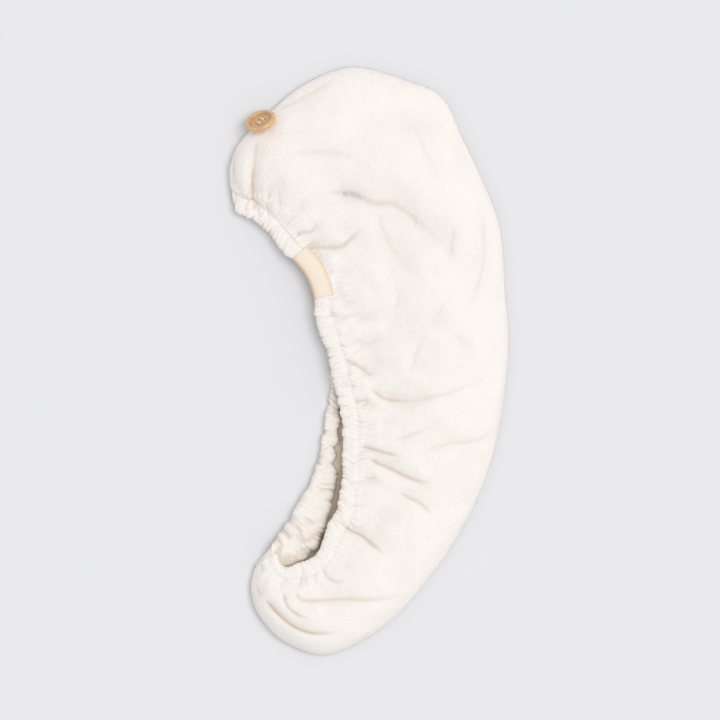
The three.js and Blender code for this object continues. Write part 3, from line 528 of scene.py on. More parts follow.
def upper_surface(u, v):
    """The upper panel's outside, and how much painted shade each point gets."""
    x, y, from_seam, from_hem, stitch, seam_z, crown, crown_at = panel_plan(UPPER_MOUTH, u, v, 1)
    seam_z = (seam_z + PIECE_GAP / 2)[:, None]
    hem_z = stitch[:, 2][:, None]
    crown_z = np.maximum(crown[:, None], hem_z)
    crown_at = crown_at[:, None]
    rise = seam_z + (crown_z - seam_z) * quarter_round(v / crown_at)
    fall = smooth((v - crown_at) / (1 - crown_at))
    height = rise + (hem_z - crown_z) * fall
    free = smooth(from_seam / (2.2 * CLOTH)) * smooth((from_hem - LAP) / (15 * MM))
    sink, shade = fold_field(x, y)
    sink = softened(sink, 3)
    shade = softened(shade, 2)
    length, from_edge = nearest_on_edge(edge_line(UPPER_MOUTH), x, y)
    run_on = fold_share(length)
    folded = smooth(from_seam / (2.2 * CLOTH)) * (run_on + (1 - run_on) * smooth(from_hem / (5 * MM)))
    beyond = np.maximum(from_edge - HEM_WIDTH, 0)
    fine, merged = hem_ribs(length, from_edge)
    fine = fine * np.exp(-((beyond / (9 * MM)) ** 1.5))
    merged = merged * np.exp(-((beyond / (15 * MM)) ** 1.5))
    puckers = ribs(length, 17 * MM, 13, from_edge * 0.6) * 0.8 * MM * np.exp(-beyond / (26 * MM))
    crumple = hilly(length / 0.006, from_edge / 0.013, 1, 17) * 0.65 * MM
    crumple = crumple * np.exp(-((beyond / (26 * MM)) ** 2))
    lumps = hilly(x + 1, y + 1, 27 * MM, 5) * 2.0 * MM + hilly(x + 2, y + 1, 12 * MM, 6) * 0.8 * MM
    pile = hilly(x, y, 1.9 * MM, 7) * 0.14 * MM + hilly(x, y, 4.5 * MM, 8) * 0.14 * MM
    room = np.maximum(0, height - HEM_THICKNESS - 2 * CLOTH)
    near_stitch = PANEL_DIP * (1 - smooth(from_hem / (1.2 * LAP)))
    calm = 1 - 0.92 * tab_calm(length) * (1 - smooth(beyond / (5 * MM)))
    quiet = 1 - 0.45 * smooth((length / UPPER_EDGE[1][-1] - 0.74) / 0.12)
    quiet = quiet * (1 - 0.8 * smooth((length / UPPER_EDGE[1][-1] - 0.94) / 0.05))
    ripple = (fine + merged) * smooth(from_seam / (3 * CLOTH)) * calm * quiet
    ripple = ripple + (puckers + crumple) * smooth(from_seam / (2.2 * CLOTH)) * smooth(beyond / (12 * MM))
    z = height - np.minimum(sink * folded, room) + ripple + lumps * free + pile - near_stitch
    # Painted shade: hollows, dents and the valleys of the gathers get some of the darker fold colour.
    hollow = 0.07 * np.clip(sink / (2.5 * MM), 0, 1) + 0.05 * np.clip(-(lumps + puckers) / (1.5 * MM), 0, 1)
    valleys = 0.34 * np.clip(-(fine + merged + crumple) / (0.9 * MM), 0, 1)
    return np.stack([x, y, z], axis=-1), np.maximum(shade * folded, hollow + valleys)


def lower_surface(u, v):
    """The lower panel's outside: flat on the floor, and raised at the seam and at the hem."""
    x, y, from_seam, from_hem, stitch, seam_z, _, _ = panel_plan(LOWER_MOUTH, u, v, -1)
    seam_z = (seam_z - PIECE_GAP / 2)[:, None]
    from_seam_z = seam_z * (1 - quarter_round(v / 0.24))
    from_hem_z = stitch[:, 2][:, None] * smooth((v - 1 + 0.16) / 0.16)
    return np.stack([x, y, np.maximum(from_seam_z, 0) + from_hem_z], axis=-1)


def grid_normals(points, up):
    """Unit normals of a grid of points, on the side that up gives."""
    along = np.gradient(points, axis=0)
    across = np.gradient(points, axis=1)
    normals = np.cross(along, across)
    normals /= np.maximum(np.linalg.norm(normals, axis=-1, keepdims=True), 1e-12)
    return normals * np.sign(normals[..., 2:3] * up + 1e-9)


def inner_rows(points, u, side, keep, hem_normals):
    """The wall's other face, a cloth's thickness in from the outside, at the rows to keep."""
    normals = grid_normals(points, side)
    outward = points[:, 0, :2] - points[:, 3, :2]
    outward /= np.maximum(np.linalg.norm(outward, axis=-1, keepdims=True), 1e-9)
    normals[:, 0] = np.concatenate([outward, np.zeros((len(points), 1))], axis=1)
    for row in range(1, 4):
        mixed = normals[:, 0] * (1 - row / 4) + normals[:, row] * (row / 4)
        normals[:, row] = mixed / np.linalg.norm(mixed, axis=-1, keepdims=True)
    normals[:, -1] = hem_normals
    inside = points - normals * wall_at(u)[:, None, None]
    return inside[:, keep]


def closed_wall(outside, inside, keep):
    """Corner indices of a closed wall. The inside has only the rows that are kept, and n-gons close its two
    ends."""
    columns, rows = outside.shape[:2]
    inner = inside.shape[1]
    base = columns * rows
    c = np.arange(columns - 1)[:, None]
    r = np.arange(rows - 1)[None, :]
    top = np.stack([c * rows + r, (c + 1) * rows + r, (c + 1) * rows + r + 1, c * rows + r + 1], axis=-1)
    k = np.arange(inner - 1)[None, :]
    under = base + np.stack(
        [c * inner + k, c * inner + k + 1, (c + 1) * inner + k + 1, (c + 1) * inner + k], axis=-1)
    flat = np.arange(columns - 1)
    seam = np.stack([flat * rows, base + flat * inner, base + (flat + 1) * inner, (flat + 1) * rows], axis=-1)
    hem = np.stack([flat * rows + rows - 1, (flat + 1) * rows + rows - 1,
                    base + (flat + 1) * inner + inner - 1, base + flat * inner + inner - 1], axis=-1)
    faces = np.concatenate([part.reshape(-1, 4) for part in (top, under, seam, hem)]).tolist()
    for column in (0, columns - 1):
        for part in range(inner - 1):
            outer = list(range(column * rows + keep[part], column * rows + keep[part + 1] + 1))
            ends = [base + column * inner + part + 1, base + column * inner + part]
            faces.append(outer + ends if column == 0 else (outer + ends)[::-1])
    return faces


def link_piece(name, mesh):
    piece = bpy.data.objects.new(name, mesh)
    bpy.context.scene.collection.objects.link(piece)
    return piece


def add_cloth(name, points, faces, shade=None):
    """A smooth-shaded mesh object whose faces point outwards, with how much painted shade each point gets."""
    mesh = bpy.data.meshes.new(name)
    mesh.from_pydata(np.asarray(points).reshape(-1, 3).tolist(), [], faces)
    if shade is not None:
        attribute = mesh.attributes.new("shade", "FLOAT", "POINT")
        attribute.data.foreach_set("value", np.asarray(shade, dtype=np.float32).ravel())
    shell = bmesh.new()
    shell.from_mesh(mesh)
    if shell.calc_volume(signed=True) < 0:
        bmesh.ops.reverse_faces(shell, faces=shell.faces)
    shell.to_mesh(mesh)
    shell.free()
    mesh.shade_smooth()
    return link_piece(name, mesh)


def make_upper_panel():
    u = even_places(UPPER_MOUTH, PANEL_COLUMNS, 0.35)
    v = np.broadcast_to(row_shares(PANEL_ROWS, 1.6, 2.2), (PANEL_COLUMNS, PANEL_ROWS))
    outside, shade = upper_surface(u, v)
    keep = np.unique(np.round(np.linspace(0, PANEL_ROWS - 1, 14)).astype(int))
    _, _, up = mouth_at(UPPER_MOUTH, u)
    inside = inner_rows(outside, u, 1, keep, up)
    points = np.concatenate([outside.reshape(-1, 3), inside.reshape(-1, 3)])
    # The inner face gets a little painted shade.
    shades = np.concatenate([shade.ravel(), np.full(inside[..., 0].size, 0.1)])
    return add_cloth("upper_plush", points, closed_wall(outside, inside, keep), shades)


def make_lower_panel():
    columns = 480
    u = even_places(LOWER_MOUTH, columns, 0.35)
    v = np.broadcast_to(row_shares(LOWER_ROWS, 1.6, 2.2), (columns, LOWER_ROWS))
    outside = lower_surface(u, v)
    keep = np.arange(LOWER_ROWS)
    down = np.broadcast_to([0.0, 0.0, -1.0], (columns, 3))
    inside = inner_rows(outside, u, -1, keep, down)
    points = np.concatenate([outside.reshape(-1, 3), inside.reshape(-1, 3)])
    # Painted shade: the inner face takes the lining's warmer shade colour in full, the outside none.
    seen = np.concatenate([np.zeros(outside[..., 0].size), np.ones(inside[..., 0].size)])
    return add_cloth("lower_plush", points, closed_wall(outside, inside, keep), seen)


def hem_stations():
    """Stations once round the mouth, along the upper edge and back along the lower one."""
    upper_u = even_places(UPPER_MOUTH, HEM_STATIONS)[:-1]
    lower_u = even_places(LOWER_MOUTH, HEM_STATIONS)[1:][::-1]
    upper_edge, upper_into, _ = mouth_at(UPPER_MOUTH, upper_u)
    lower_edge, lower_into, _ = mouth_at(LOWER_MOUTH, lower_u)
    band_width, band_thickness, keep_dip = along_table(BACK_BAND, lower_u).T
    level = lower_into * [1, 1, 0]
    level /= np.linalg.norm(level, axis=1, keepdims=True)
    lower_into = level + (lower_into - level) * keep_dip[:, None]
    lower_into /= np.linalg.norm(lower_into, axis=1, keepdims=True)
    lower_edge[:, 2] = np.maximum(lower_edge[:, 2], band_thickness * MM / 2 + 0.9 * MM)
    edge = np.concatenate([upper_edge, lower_edge])
    into = np.concatenate([upper_into, lower_into])
    width = np.concatenate([front_width(upper_u), band_width * MM])
    thickness = np.concatenate([np.full(len(upper_u), HEM_THICKNESS), band_thickness * MM])
    centre = edge + into * (width / 2)[:, None]
    along = np.roll(centre, -1, axis=0) - np.roll(centre, 1, axis=0)
    along /= np.linalg.norm(along, axis=1, keepdims=True)
    out = np.cross(along, into)
    out /= np.linalg.norm(out, axis=1, keepdims=True)
    length = np.concatenate([
        np.interp(upper_u, *UPPER_EDGE),
        UPPER_EDGE[1][-1] + LOWER_EDGE[1][-1] - np.interp(lower_u, *LOWER_EDGE)])
    back = np.concatenate([np.zeros(len(upper_u)), smooth(np.minimum(lower_u / 0.06, (1 - lower_u) / 0.08))])
    return edge, into, out, width, thickness, length, back


def tab_calm(length):
    """1 under the tab, where the hem lies flat, falling to 0 beside it."""
    total = UPPER_EDGE[1][-1]
    beyond = np.abs(length - TAB_PLACE * total) - TAB_LENGTH / 2
    return 1 - smooth(beyond / (9 * MM) + 0.2)


def hem_section(share, thickness, back, high):
    """The top and the underside of the hem's section, from the stitched side, share 0, to the mouth's edge,
    share 1. At the front its top runs on level with the panel and its rim droops. At the back it is round."""
    front_top = CLOTH / 2 + 0.45 * MM * smooth((share - 0.1) / 0.5)
    front_top = front_top - 2 * LAP_DIP * (1 - smooth(share / (1.4 * LAP / HEM_WIDTH)))
    front_low = front_top - CLOTH - (thickness - CLOTH) * smooth(share / 0.4)
    droop = HEM_DROOP * np.clip(share, 0, 1) ** 2 * high
    round_rim = np.sqrt(np.clip(1 - (1 - np.minimum(share / 0.34, 1)) ** 2, 0, 1))
    back_half = thickness / 2 * (0.25 + 0.75 * round_rim)
    top = (front_top - droop) * (1 - back) + back_half * back
    low = (front_low - droop) * (1 - back) - back_half * back
    roll = np.sqrt(np.clip(1 - np.maximum(0, (share - 0.78) / 0.22) ** 2, 0, 1))
    middle = (top + low) / 2
    return middle + (top - middle) * roll, middle + (low - middle) * roll


def highness(edge):
    """1 where the mouth's edge is high enough for its rim to droop, falling to 0 near the floor."""
    return smooth((edge[:, 2] - 9 * MM) / (8 * MM))


def make_hem():
    """The gathered hem, one closed ring: its section runs over the top to the mouth's edge and back below."""
    edge, into, out, width, thickness, length, back = hem_stations()
    stations = len(edge)
    top = 1 - (1 - np.linspace(0, 1, HEM_HALF)) ** 1.4
    share = np.concatenate([top, top[-2:0:-1], [0.0]])
    side = np.concatenate([np.ones(HEM_HALF), -np.ones(HEM_HALF - 1)])
    corners = len(share)
    share = np.broadcast_to(share, (stations, corners))
    side = np.broadcast_to(side, (stations, corners))
    width = width[:, None]
    thickness = thickness[:, None]
    back = back[:, None]
    top_side, low_side = hem_section(share, thickness, back, highness(edge)[:, None])
    half = (top_side - low_side) / 2
    middle_line = (top_side + low_side) / 2
    plain = edge[:, None] + into[:, None] * (width * (1 - share))[..., None]
    front_length, front_away = nearest_on_edge(edge_line(UPPER_MOUTH), plain[..., 0], plain[..., 1])
    from_ends = np.minimum(length, np.abs(UPPER_EDGE[1][-1] - length))[:, None]
    apart = smooth(from_ends / (14 * MM))
    front_length = front_length * apart + length[:, None] * (1 - apart)
    sink, tint = fold_field(plain[..., 0], plain[..., 1])
    front = (length < UPPER_EDGE[1][-1])[:, None]
    low = np.maximum(plain[..., 2] - HEM_FLOOR, 0)
    run_on = np.where(front, fold_share(front_length) * (1 - 0.5 * share), 0)
    lowered = np.minimum(sink * run_on, low)
    fine, merged = hem_ribs(front_length, front_away)
    run = length[:, None] + 0 * share
    across = share * width * 0.7 + side * 2 * MM
    curved = run + 3.0 * MM * np.sin(share * 2.6) * back
    ruffle = ribs(curved, 13.5 * MM, 21, across * 0.5)
    bent = run + 5 * MM * hilly(across, run * 0.3, 7 * MM, 24)
    back_fine = ribs(bent, 3.1 * MM, 22, across * 2) * 0.42 * MM
    back_fine = back_fine + hilly(bent / 0.0018, across / 0.005, 1, 23) * 0.85 * MM
    back_folds = hilly(bent / 0.006, across / 0.009, 1, 25) * 1.1 * MM
    calm = np.where(back > 0, 1, 1 - 0.9 * tab_calm(length)[:, None])
    quiet = 1 - 0.45 * smooth((length / UPPER_EDGE[1][-1] - 0.74) / 0.12)[:, None]
    quiet = quiet * (1 - 0.8 * smooth((length / UPPER_EDGE[1][-1] - 0.94) / 0.05)[:, None])
    front_swell = (fine + merged) * calm * quiet * (1 - back)
    near_low = 1 - 0.5 * np.exp(-((length - UPPER_EDGE[1][-1]) / (12 * MM)) ** 2)[:, None]
    back_swell = (back_fine + back_folds + ruffle * 0.05 * thickness) * back * near_low
    swell = front_swell + back_swell
    pile = hilly(run, across + 1, 1.7 * MM, 31) * 0.14 * MM * (1 - np.exp(-share * 12))
    wander = hilly(length, 0 * length, 16 * MM, 33)[:, None] * 0.4 * MM * calm
    pinch = TAB_PINCH * tab_calm(length)[:, None] * (1 - back)
    edge_push = np.clip((share - 0.6) / 0.4, 0, 1) * (swell * 0.9 + wander - pinch)
    rim_push = np.clip(1 - share / 0.4, 0, 1) * (ruffle * 1.7 * MM + back_fine + back_folds) * back
    inward = width * (1 - share) - edge_push + rim_push
    outward = middle_line + side * (half + swell * np.minimum(1, half / (0.8 * MM)) + pile)
    points = edge[:, None] + into[:, None] * inward[..., None] + out[:, None] * outward[..., None]
    points[..., 2] -= lowered
    upper_total = UPPER_EDGE[1][-1]
    ring = upper_total + LOWER_EDGE[1][-1]
    from_top = np.minimum(length, ring - length)
    from_low = np.abs(length - upper_total)
    bulge = 6.8 * MM * np.exp(-((from_top / (8 * MM)) ** 2))
    bulge = bulge + 4.8 * MM * np.exp(-((from_low / (10 * MM)) ** 2))
    outer = np.clip(side, 0, 1) * np.clip(1 - share, 0, 1) ** 0.9
    points += (out * [1, 1, 0] + 0.75 * into)[:, None] * (bulge[:, None] * outer)[..., None]
    calmed = points
    for _ in range(40):
        calmed = (np.roll(calmed, 1, axis=0) + 2 * calmed + np.roll(calmed, -1, axis=0)) / 4
    near = np.exp(-((from_low / (11 * MM)) ** 4))[:, None, None]
    points = points * (1 - near) + calmed * near
    reach = END_REACH * np.exp(-((from_low / (12 * MM)) ** 2))[:, None] * np.clip(1 - share, 0, 1)
    points += into[:, None] * reach[..., None]
    points[..., 2] = np.maximum(points[..., 2], 0.3 * MM)
    s = np.arange(stations)[:, None]
    k = np.arange(corners)[None, :]
    nxt = (s + 1) % stations
    turn = (k + 1) % corners
    faces = np.stack([s * corners + k, s * corners + turn, nxt * corners + turn, nxt * corners + k], axis=-1)
    # Painted shade: darker colour in the valleys of the gathers, a little over the whole back band, strongly
    # along the back band's rim at share 0, and the folds' crease shade where they run into the hem.
    valley = np.clip(-swell / (1.0 * MM), 0, 1) * (0.34 + 0.06 * back) * calm + 0.07 * back
    valley = valley + 0.5 * np.exp(-share / 0.12) * back + tint * run_on
    return add_cloth("gathered_hem", points, faces.reshape(-1, 4).tolist(), np.clip(valley, 0, 1))


def tab_section(high, grow):
    """The tab's path over the hem, down its rim and back below, standing clear of it. For each station it
    gives how far from the mouth's edge it is and how high, and the distance walked along it."""
    steps = 1 - (1 + TAB_BEYOND) * (1 - np.linspace(0, 1, TAB_AROUND)) ** 1.5
    share = np.concatenate([steps, steps[-2::-1]])
    upper = np.concatenate([np.ones(TAB_AROUND, bool), np.zeros(TAB_AROUND - 1, bool)])
    share = np.broadcast_to(share, (len(high), len(share)))
    top, low = hem_section(share, HEM_THICKNESS, 0.0, high[:, None])
    inward = HEM_WIDTH * (1 - share) + TAB_PINCH * np.clip((share - 0.6) / 0.4, 0, 1)
    height = np.where(upper, top, low)
    resting = CLOTH / 2 + 0.2 * MM * (1 - smooth((share + 0.02) / 0.15))
    height = np.where(upper & (share < 0.3), np.maximum(height, resting), height)
    run_in = np.gradient(inward, axis=1)
    run_up = np.gradient(height, axis=1)
    size = np.maximum(np.hypot(run_in, run_up), 1e-9)
    walked = np.cumsum(size, axis=1) - size[:, :1]
    return inward + grow * run_up / size, height - grow * run_in / size, walked


def make_tab():
    """The blank tab, a strip folded round the mouth's edge, with how far along and round it each point is."""
    total = UPPER_EDGE[1][-1]
    along_tab = np.linspace(-TAB_LENGTH / 2, TAB_LENGTH / 2, TAB_ALONG)
    u = np.interp(TAB_PLACE * total + along_tab, UPPER_EDGE[1], UPPER_EDGE[0])
    edge, into, up = mouth_at(UPPER_MOUTH, u)
    centre = edge + into * (HEM_WIDTH / 2)
    along = np.gradient(centre, axis=0)
    along /= np.linalg.norm(along, axis=1, keepdims=True)
    out = np.cross(along, into)
    out /= np.linalg.norm(out, axis=1, keepdims=True)
    layers = []
    for grow in (TAB_CLEAR + TAB_THICKNESS, TAB_CLEAR):
        inward, height, walked = tab_section(highness(edge), grow)
        layers.append(edge[:, None] + into[:, None] * inward[..., None] + out[:, None] * height[..., None])
    keep = np.arange(layers[0].shape[1])
    piece = add_cloth("folded_tab", np.concatenate([part.reshape(-1, 3) for part in layers]),
                      closed_wall(layers[0], layers[1], keep))
    place = np.stack([np.broadcast_to(along_tab[:, None], walked.shape), walked, 0 * walked], axis=-1)
    attribute = piece.data.attributes.new("ribbon", "FLOAT_VECTOR", "POINT")
    attribute.data.foreach_set("vector", np.concatenate([place, place]).astype(np.float32).ravel())
    return piece, layers[0], out


def make_tab_stitches(outside, out):
    """Small straight stitches that hold the tab, along its top leaf's far edge and its two ends."""
    columns, rows = outside.shape[:2]
    runs = []
    for start in np.linspace(0.03, 0.92, 15):
        runs.append([(start + 0.045 * t, 0.07) for t in (0, 0.5, 1)])
    for end_at in (0.035, 0.965):
        for start in np.linspace(0.14, 0.86, 6):
            runs.append([(end_at, start + 0.075 * t) for t in (0, 0.5, 1)])
    leaf = TAB_AROUND - 1
    lines = []
    for run in runs:
        line = []
        for step, (a, b) in enumerate(run):
            column = min(columns - 1, a * (columns - 1))
            i = int(column)
            j = min(i + 1, columns - 1)
            row = int(round(b * leaf))
            point = outside[i, row] * (1 - column + i) + outside[j, row] * (column - i)
            line.append(point + out[i] * (0.16 * MM if step == 1 else -0.02 * MM))
        lines.append(line)
    return add_strands("tab_stitches", lines, 0.13 * MM, 6)


def add_strands(name, lines, radius, sides):
    """Closed round strands, one along each line of points."""
    shell = bmesh.new()
    for line in lines:
        line = np.asarray(line, dtype=float)
        direction = np.gradient(line, axis=0)
        direction /= np.maximum(np.linalg.norm(direction, axis=1, keepdims=True), 1e-12)
        helper = np.array([0.0, 0.0, 1.0]) if abs(direction[0][2]) < 0.9 else np.array([1.0, 0.0, 0.0])
        rings = []
        for point, way in zip(line, direction):
            first = np.cross(way, helper)
            first /= np.linalg.norm(first)
            second = np.cross(way, first)
            helper = -second
            turns = [2 * math.pi * k / sides for k in range(sides)]
            ring = [point + radius * (math.cos(t) * first + math.sin(t) * second) for t in turns]
            rings.append([shell.verts.new(corner) for corner in ring])
        for low, high in zip(rings[:-1], rings[1:]):
            for k in range(sides):
                shell.faces.new((low[k], low[(k + 1) % sides], high[(k + 1) % sides], high[k]))
        shell.faces.new(rings[0][::-1])
        shell.faces.new(rings[-1])
    bmesh.ops.recalc_face_normals(shell, faces=shell.faces)
    mesh = bpy.data.meshes.new(name)
    shell.to_mesh(mesh)
    shell.free()
    mesh.shade_smooth()
    return link_piece(name, mesh)


def only(piece):
    """Leaves one object selected and active."""
    bpy.ops.object.select_all(action="DESELECT")
    piece.select_set(True)
    bpy.context.view_layer.objects.active = piece


def make_button(place, turn):
    """The turned button: a rounded rim round a flat dish, with four holes. It is made level, then placed."""
    bpy.ops.object.select_all(action="DESELECT")
    bpy.ops.mesh.primitive_circle_add(
        vertices=96, radius=BUTTON_RINGS[0][0] * MM, fill_type="NGON", location=(0, 0, 0))
    disc = bpy.context.object
    disc.name = "wooden_button"
    bpy.ops.object.mode_set(mode="EDIT")
    bpy.ops.mesh.select_all(action="SELECT")
    for (radius, height), (next_radius, next_height) in zip(BUTTON_RINGS[:-1], BUTTON_RINGS[1:]):
        rise = (next_height - height) * MM
        bpy.ops.mesh.extrude_region_move(TRANSFORM_OT_translate={"value": (0, 0, rise)})
        grow = next_radius / radius
        bpy.ops.transform.resize(value=(grow, grow, 1), center_override=(0, 0, 0))
    bpy.ops.mesh.inset(thickness=0.9 * MM)
    bpy.ops.mesh.select_all(action="SELECT")
    bpy.ops.mesh.normals_make_consistent(inside=False)
    bpy.ops.object.mode_set(mode="OBJECT")
    for x in (-1, 1):
        for y in (-1, 1):
            bpy.ops.object.select_all(action="DESELECT")
            bpy.ops.mesh.primitive_cylinder_add(
                vertices=28, radius=HOLE_DIAMETER / 2, depth=12 * MM,
                location=(x * HOLE_SPACING / 2, y * HOLE_SPACING / 2, 2 * MM))
            drill = bpy.context.object
            only(disc)
            cut = disc.modifiers.new("hole", "BOOLEAN")
            cut.operation = "DIFFERENCE"
            cut.object = drill
            bpy.ops.object.modifier_apply(modifier="hole")
            bpy.data.objects.remove(drill)
    only(disc)
    soften = disc.modifiers.new("soft edges", "BEVEL")
    soften.width = 0.22 * MM
    soften.segments = 3
    soften.limit_method = "ANGLE"
    soften.angle_limit = math.radians(50)
    bpy.ops.object.modifier_apply(modifier="soft edges")
    bpy.ops.object.shade_smooth_by_angle(angle=math.radians(38))
    # Painted shade: the dish and a ring at the foot of its wall are marked to be darkened.
    dish_shade_marks = disc.data.attributes.new("dish", "FLOAT", "POINT")
    for vertex in disc.data.vertices:
        radius = math.hypot(vertex.co.x, vertex.co.y) / MM
        in_dish = vertex.co.z > 1 * MM and radius < 9.8
        groove = math.exp(-((radius - 8.5) / 0.75) ** 2) if in_dish else 0.0
        dish_shade_marks.data[vertex.index].value = max(groove, 0.4 if in_dish and radius < 8.5 else 0.0)
    disc.data.transform(Matrix.Translation(place) @ turn.to_matrix().to_4x4())
    return disc


def make_button_thread(place, turn):
    """The sewing thread: two bars of twisted strands across the dish, down through the holes, and the wound
    shank behind the button."""
    floor_z = 2.2 * MM
    lines = []
    for side in (-1, 1):
        for strand in range(3):
            line = []
            for t in np.linspace(0, 1, 26):
                x = (t - 0.5) * HOLE_SPACING * 0.8
                rise = 0.85 * MM * math.sin(math.pi * t) ** 0.7
                end = max(0.0, abs(t - 0.5) - 0.42) / 0.08
                z = floor_z + 0.1 * MM + rise - 2.2 * MM * end**2
                phase = 2 * math.pi * (strand / 3 + 1.6 * t)
                y = side * HOLE_SPACING / 2 + 0.32 * MM * math.cos(phase)
                line.append((x, y, z + 0.32 * MM * math.sin(phase)))
            lines.append(line)
    coil = []
    depth = 4.6 * MM
    turns = 7
    for t in np.linspace(0, 1, turns * 18):
        angle = 2 * math.pi * turns * t
        radius = 1.75 * MM * (1 - 0.12 * math.sin(math.pi * t))
        coil.append((radius * math.cos(angle), radius * math.sin(angle), -0.5 * MM - depth * t))
    lines.append(coil)
    for x in (-1, 1):
        for y in (-1, 1):
            lines.append([(x * HOLE_SPACING / 2 * (1 - 0.75 * t), y * HOLE_SPACING / 2 * (1 - 0.75 * t),
                           1.6 * MM - 2.6 * MM * t) for t in np.linspace(0, 1, 7)])
    thread = add_strands("button_stitching", lines, 0.31 * MM, 8)
    thread.data.transform(Matrix.Translation(place) @ turn.to_matrix().to_4x4())
    return thread


def feed(links, socket, source):
    """Gives a socket a value, or links another node's output to it."""
    if isinstance(source, bpy.types.NodeSocket):
        links.new(source, socket)
    else:
        socket.default_value = source


def add_node(nodes, links, kind, inputs):
    """A shader node, with values or other nodes' outputs for its inputs."""
    node = nodes.new(kind)
    for name, source in inputs.items():
        feed(links, node.inputs[name], source)
    return node


def new_material(name, values):
    """A material, its nodes and links and its main shader, with the shader's values."""
    material = bpy.data.materials.new(name)
    material.use_nodes = True
    nodes = material.node_tree.nodes
    shader = nodes["Principled BSDF"]
    for socket, value in values.items():
        shader.inputs[socket].default_value = value
    return material, nodes, material.node_tree.links, shader


def attribute_outputs(nodes, name):
    attribute = nodes.new("ShaderNodeAttribute")
    attribute.attribute_name = name
    return attribute.outputs


def mixed(nodes, links, share, first, second, blend="MIX"):
    """Two colours mixed."""
    mix = nodes.new("ShaderNodeMix")
    mix.data_type = "RGBA"
    mix.blend_type = blend
    for socket, source in ((0, share), (6, first), (7, second)):
        feed(links, mix.inputs[socket], source)
    return mix.outputs[2]


def reckoned(nodes, links, operation, first, second):
    """Two numbers added or multiplied."""
    node = add_node(nodes, links, "ShaderNodeMath", {0: first, 1: second})
    node.operation = operation
    return node.outputs["Value"]


def ramped(nodes, links, share, stops):
    """A colour that runs through stops of position and colour."""
    ramp = add_node(nodes, links, "ShaderNodeValToRGB", {"Fac": share})
    marks = ramp.color_ramp.elements
    for mark, (position, colour) in ((marks[0], stops[0]), (marks[1], stops[-1])):
        mark.position = position
        mark.color = (*colour, 1)
    for position, colour in stops[1:-1]:
        marks.new(position).color = (*colour, 1)
    return ramp.outputs["Color"]


def roughen(nodes, links, shader, height, strength, distance):
    """Gives a shader's surface a fine relief."""
    bump = add_node(nodes, links, "ShaderNodeBump",
                    {"Strength": strength, "Distance": distance, "Height": height})
    links.new(bump.outputs["Normal"], shader.inputs["Normal"])


def plush_material(name, light, deep):
    """Cream plush: a soft nap that scatters light, and painted shade, warmer and darker, where the shade
    attribute marks folds and insides.
    """
    material, nodes, links, cloth = new_material(name, {
        "Roughness": 0.95, "Specular IOR Level": 0.15, "Sheen Weight": 0.12, "Sheen Roughness": 0.5,
        "Sheen Tint": (1.0, 0.97, 0.94, 1), "Subsurface Weight": 0.25, "Subsurface Scale": 0.003,
        "Subsurface Radius": (1.0, 0.85, 0.7)})
    place = nodes.new("ShaderNodeTexCoord").outputs["Object"]
    mottle = add_node(nodes, links, "ShaderNodeTexNoise", {"Scale": 420, "Detail": 3, "Vector": place})
    uneven = mixed(nodes, links, mottle.outputs["Fac"], (*[c * 0.96 for c in light], 1), (*light, 1))
    # Painted shade: the shade attribute mixes in the darker, warmer colour.
    folded = mixed(nodes, links, attribute_outputs(nodes, "shade")["Fac"], uneven, (*deep, 1))
    links.new(folded, cloth.inputs["Base Color"])
    pile = add_node(nodes, links, "ShaderNodeTexNoise",
                    {"Scale": 1 / PILE_SIZE, "Detail": 3, "Roughness": 0.65, "Vector": place})
    roughen(nodes, links, cloth, pile.outputs["Fac"], 0.9, 0.0008)
    return material


def tab_material():
    """Cream damask ribbon: a fine slanting weave, and peach selvages along both long edges."""
    material, nodes, links, ribbon = new_material("cream ribbon", {"Roughness": 0.62, "Sheen Weight": 0.15})
    place = attribute_outputs(nodes, "ribbon")["Vector"]
    apart = add_node(nodes, links, "ShaderNodeSeparateXYZ", {"Vector": place})
    round_share = reckoned(nodes, links, "MULTIPLY", apart.outputs["Y"], 1 / 0.036)
    selvage = ramped(nodes, links, round_share, (
        (0.0, (0.90, 0.66, 0.48)), (0.028, (0.91, 0.70, 0.52)), (0.045, (0.95, 0.84, 0.71)),
        (0.375, (0.95, 0.84, 0.71)), (0.405, (0.90, 0.62, 0.43)), (0.50, (0.88, 0.58, 0.40)),
        (0.54, (0.92, 0.78, 0.62)), (1.0, (0.92, 0.78, 0.62))))
    weave = add_node(nodes, links, "ShaderNodeTexWave", {
        "Scale": 380, "Distortion": 1.2, "Detail": 2, "Detail Scale": 3, "Vector": place})
    weave.bands_direction = "DIAGONAL"
    cross = add_node(nodes, links, "ShaderNodeTexWave", {"Scale": 620, "Vector": place})
    cross.bands_direction = "X"
    both = reckoned(nodes, links, "ADD", weave.outputs["Fac"], cross.outputs["Fac"])
    darker = mixed(nodes, links, weave.outputs["Fac"], selvage, (0.93, 0.90, 0.86, 1), "MULTIPLY")
    links.new(darker, ribbon.inputs["Base Color"])
    roughen(nodes, links, ribbon, both, 0.5, 0.00012)
    return material


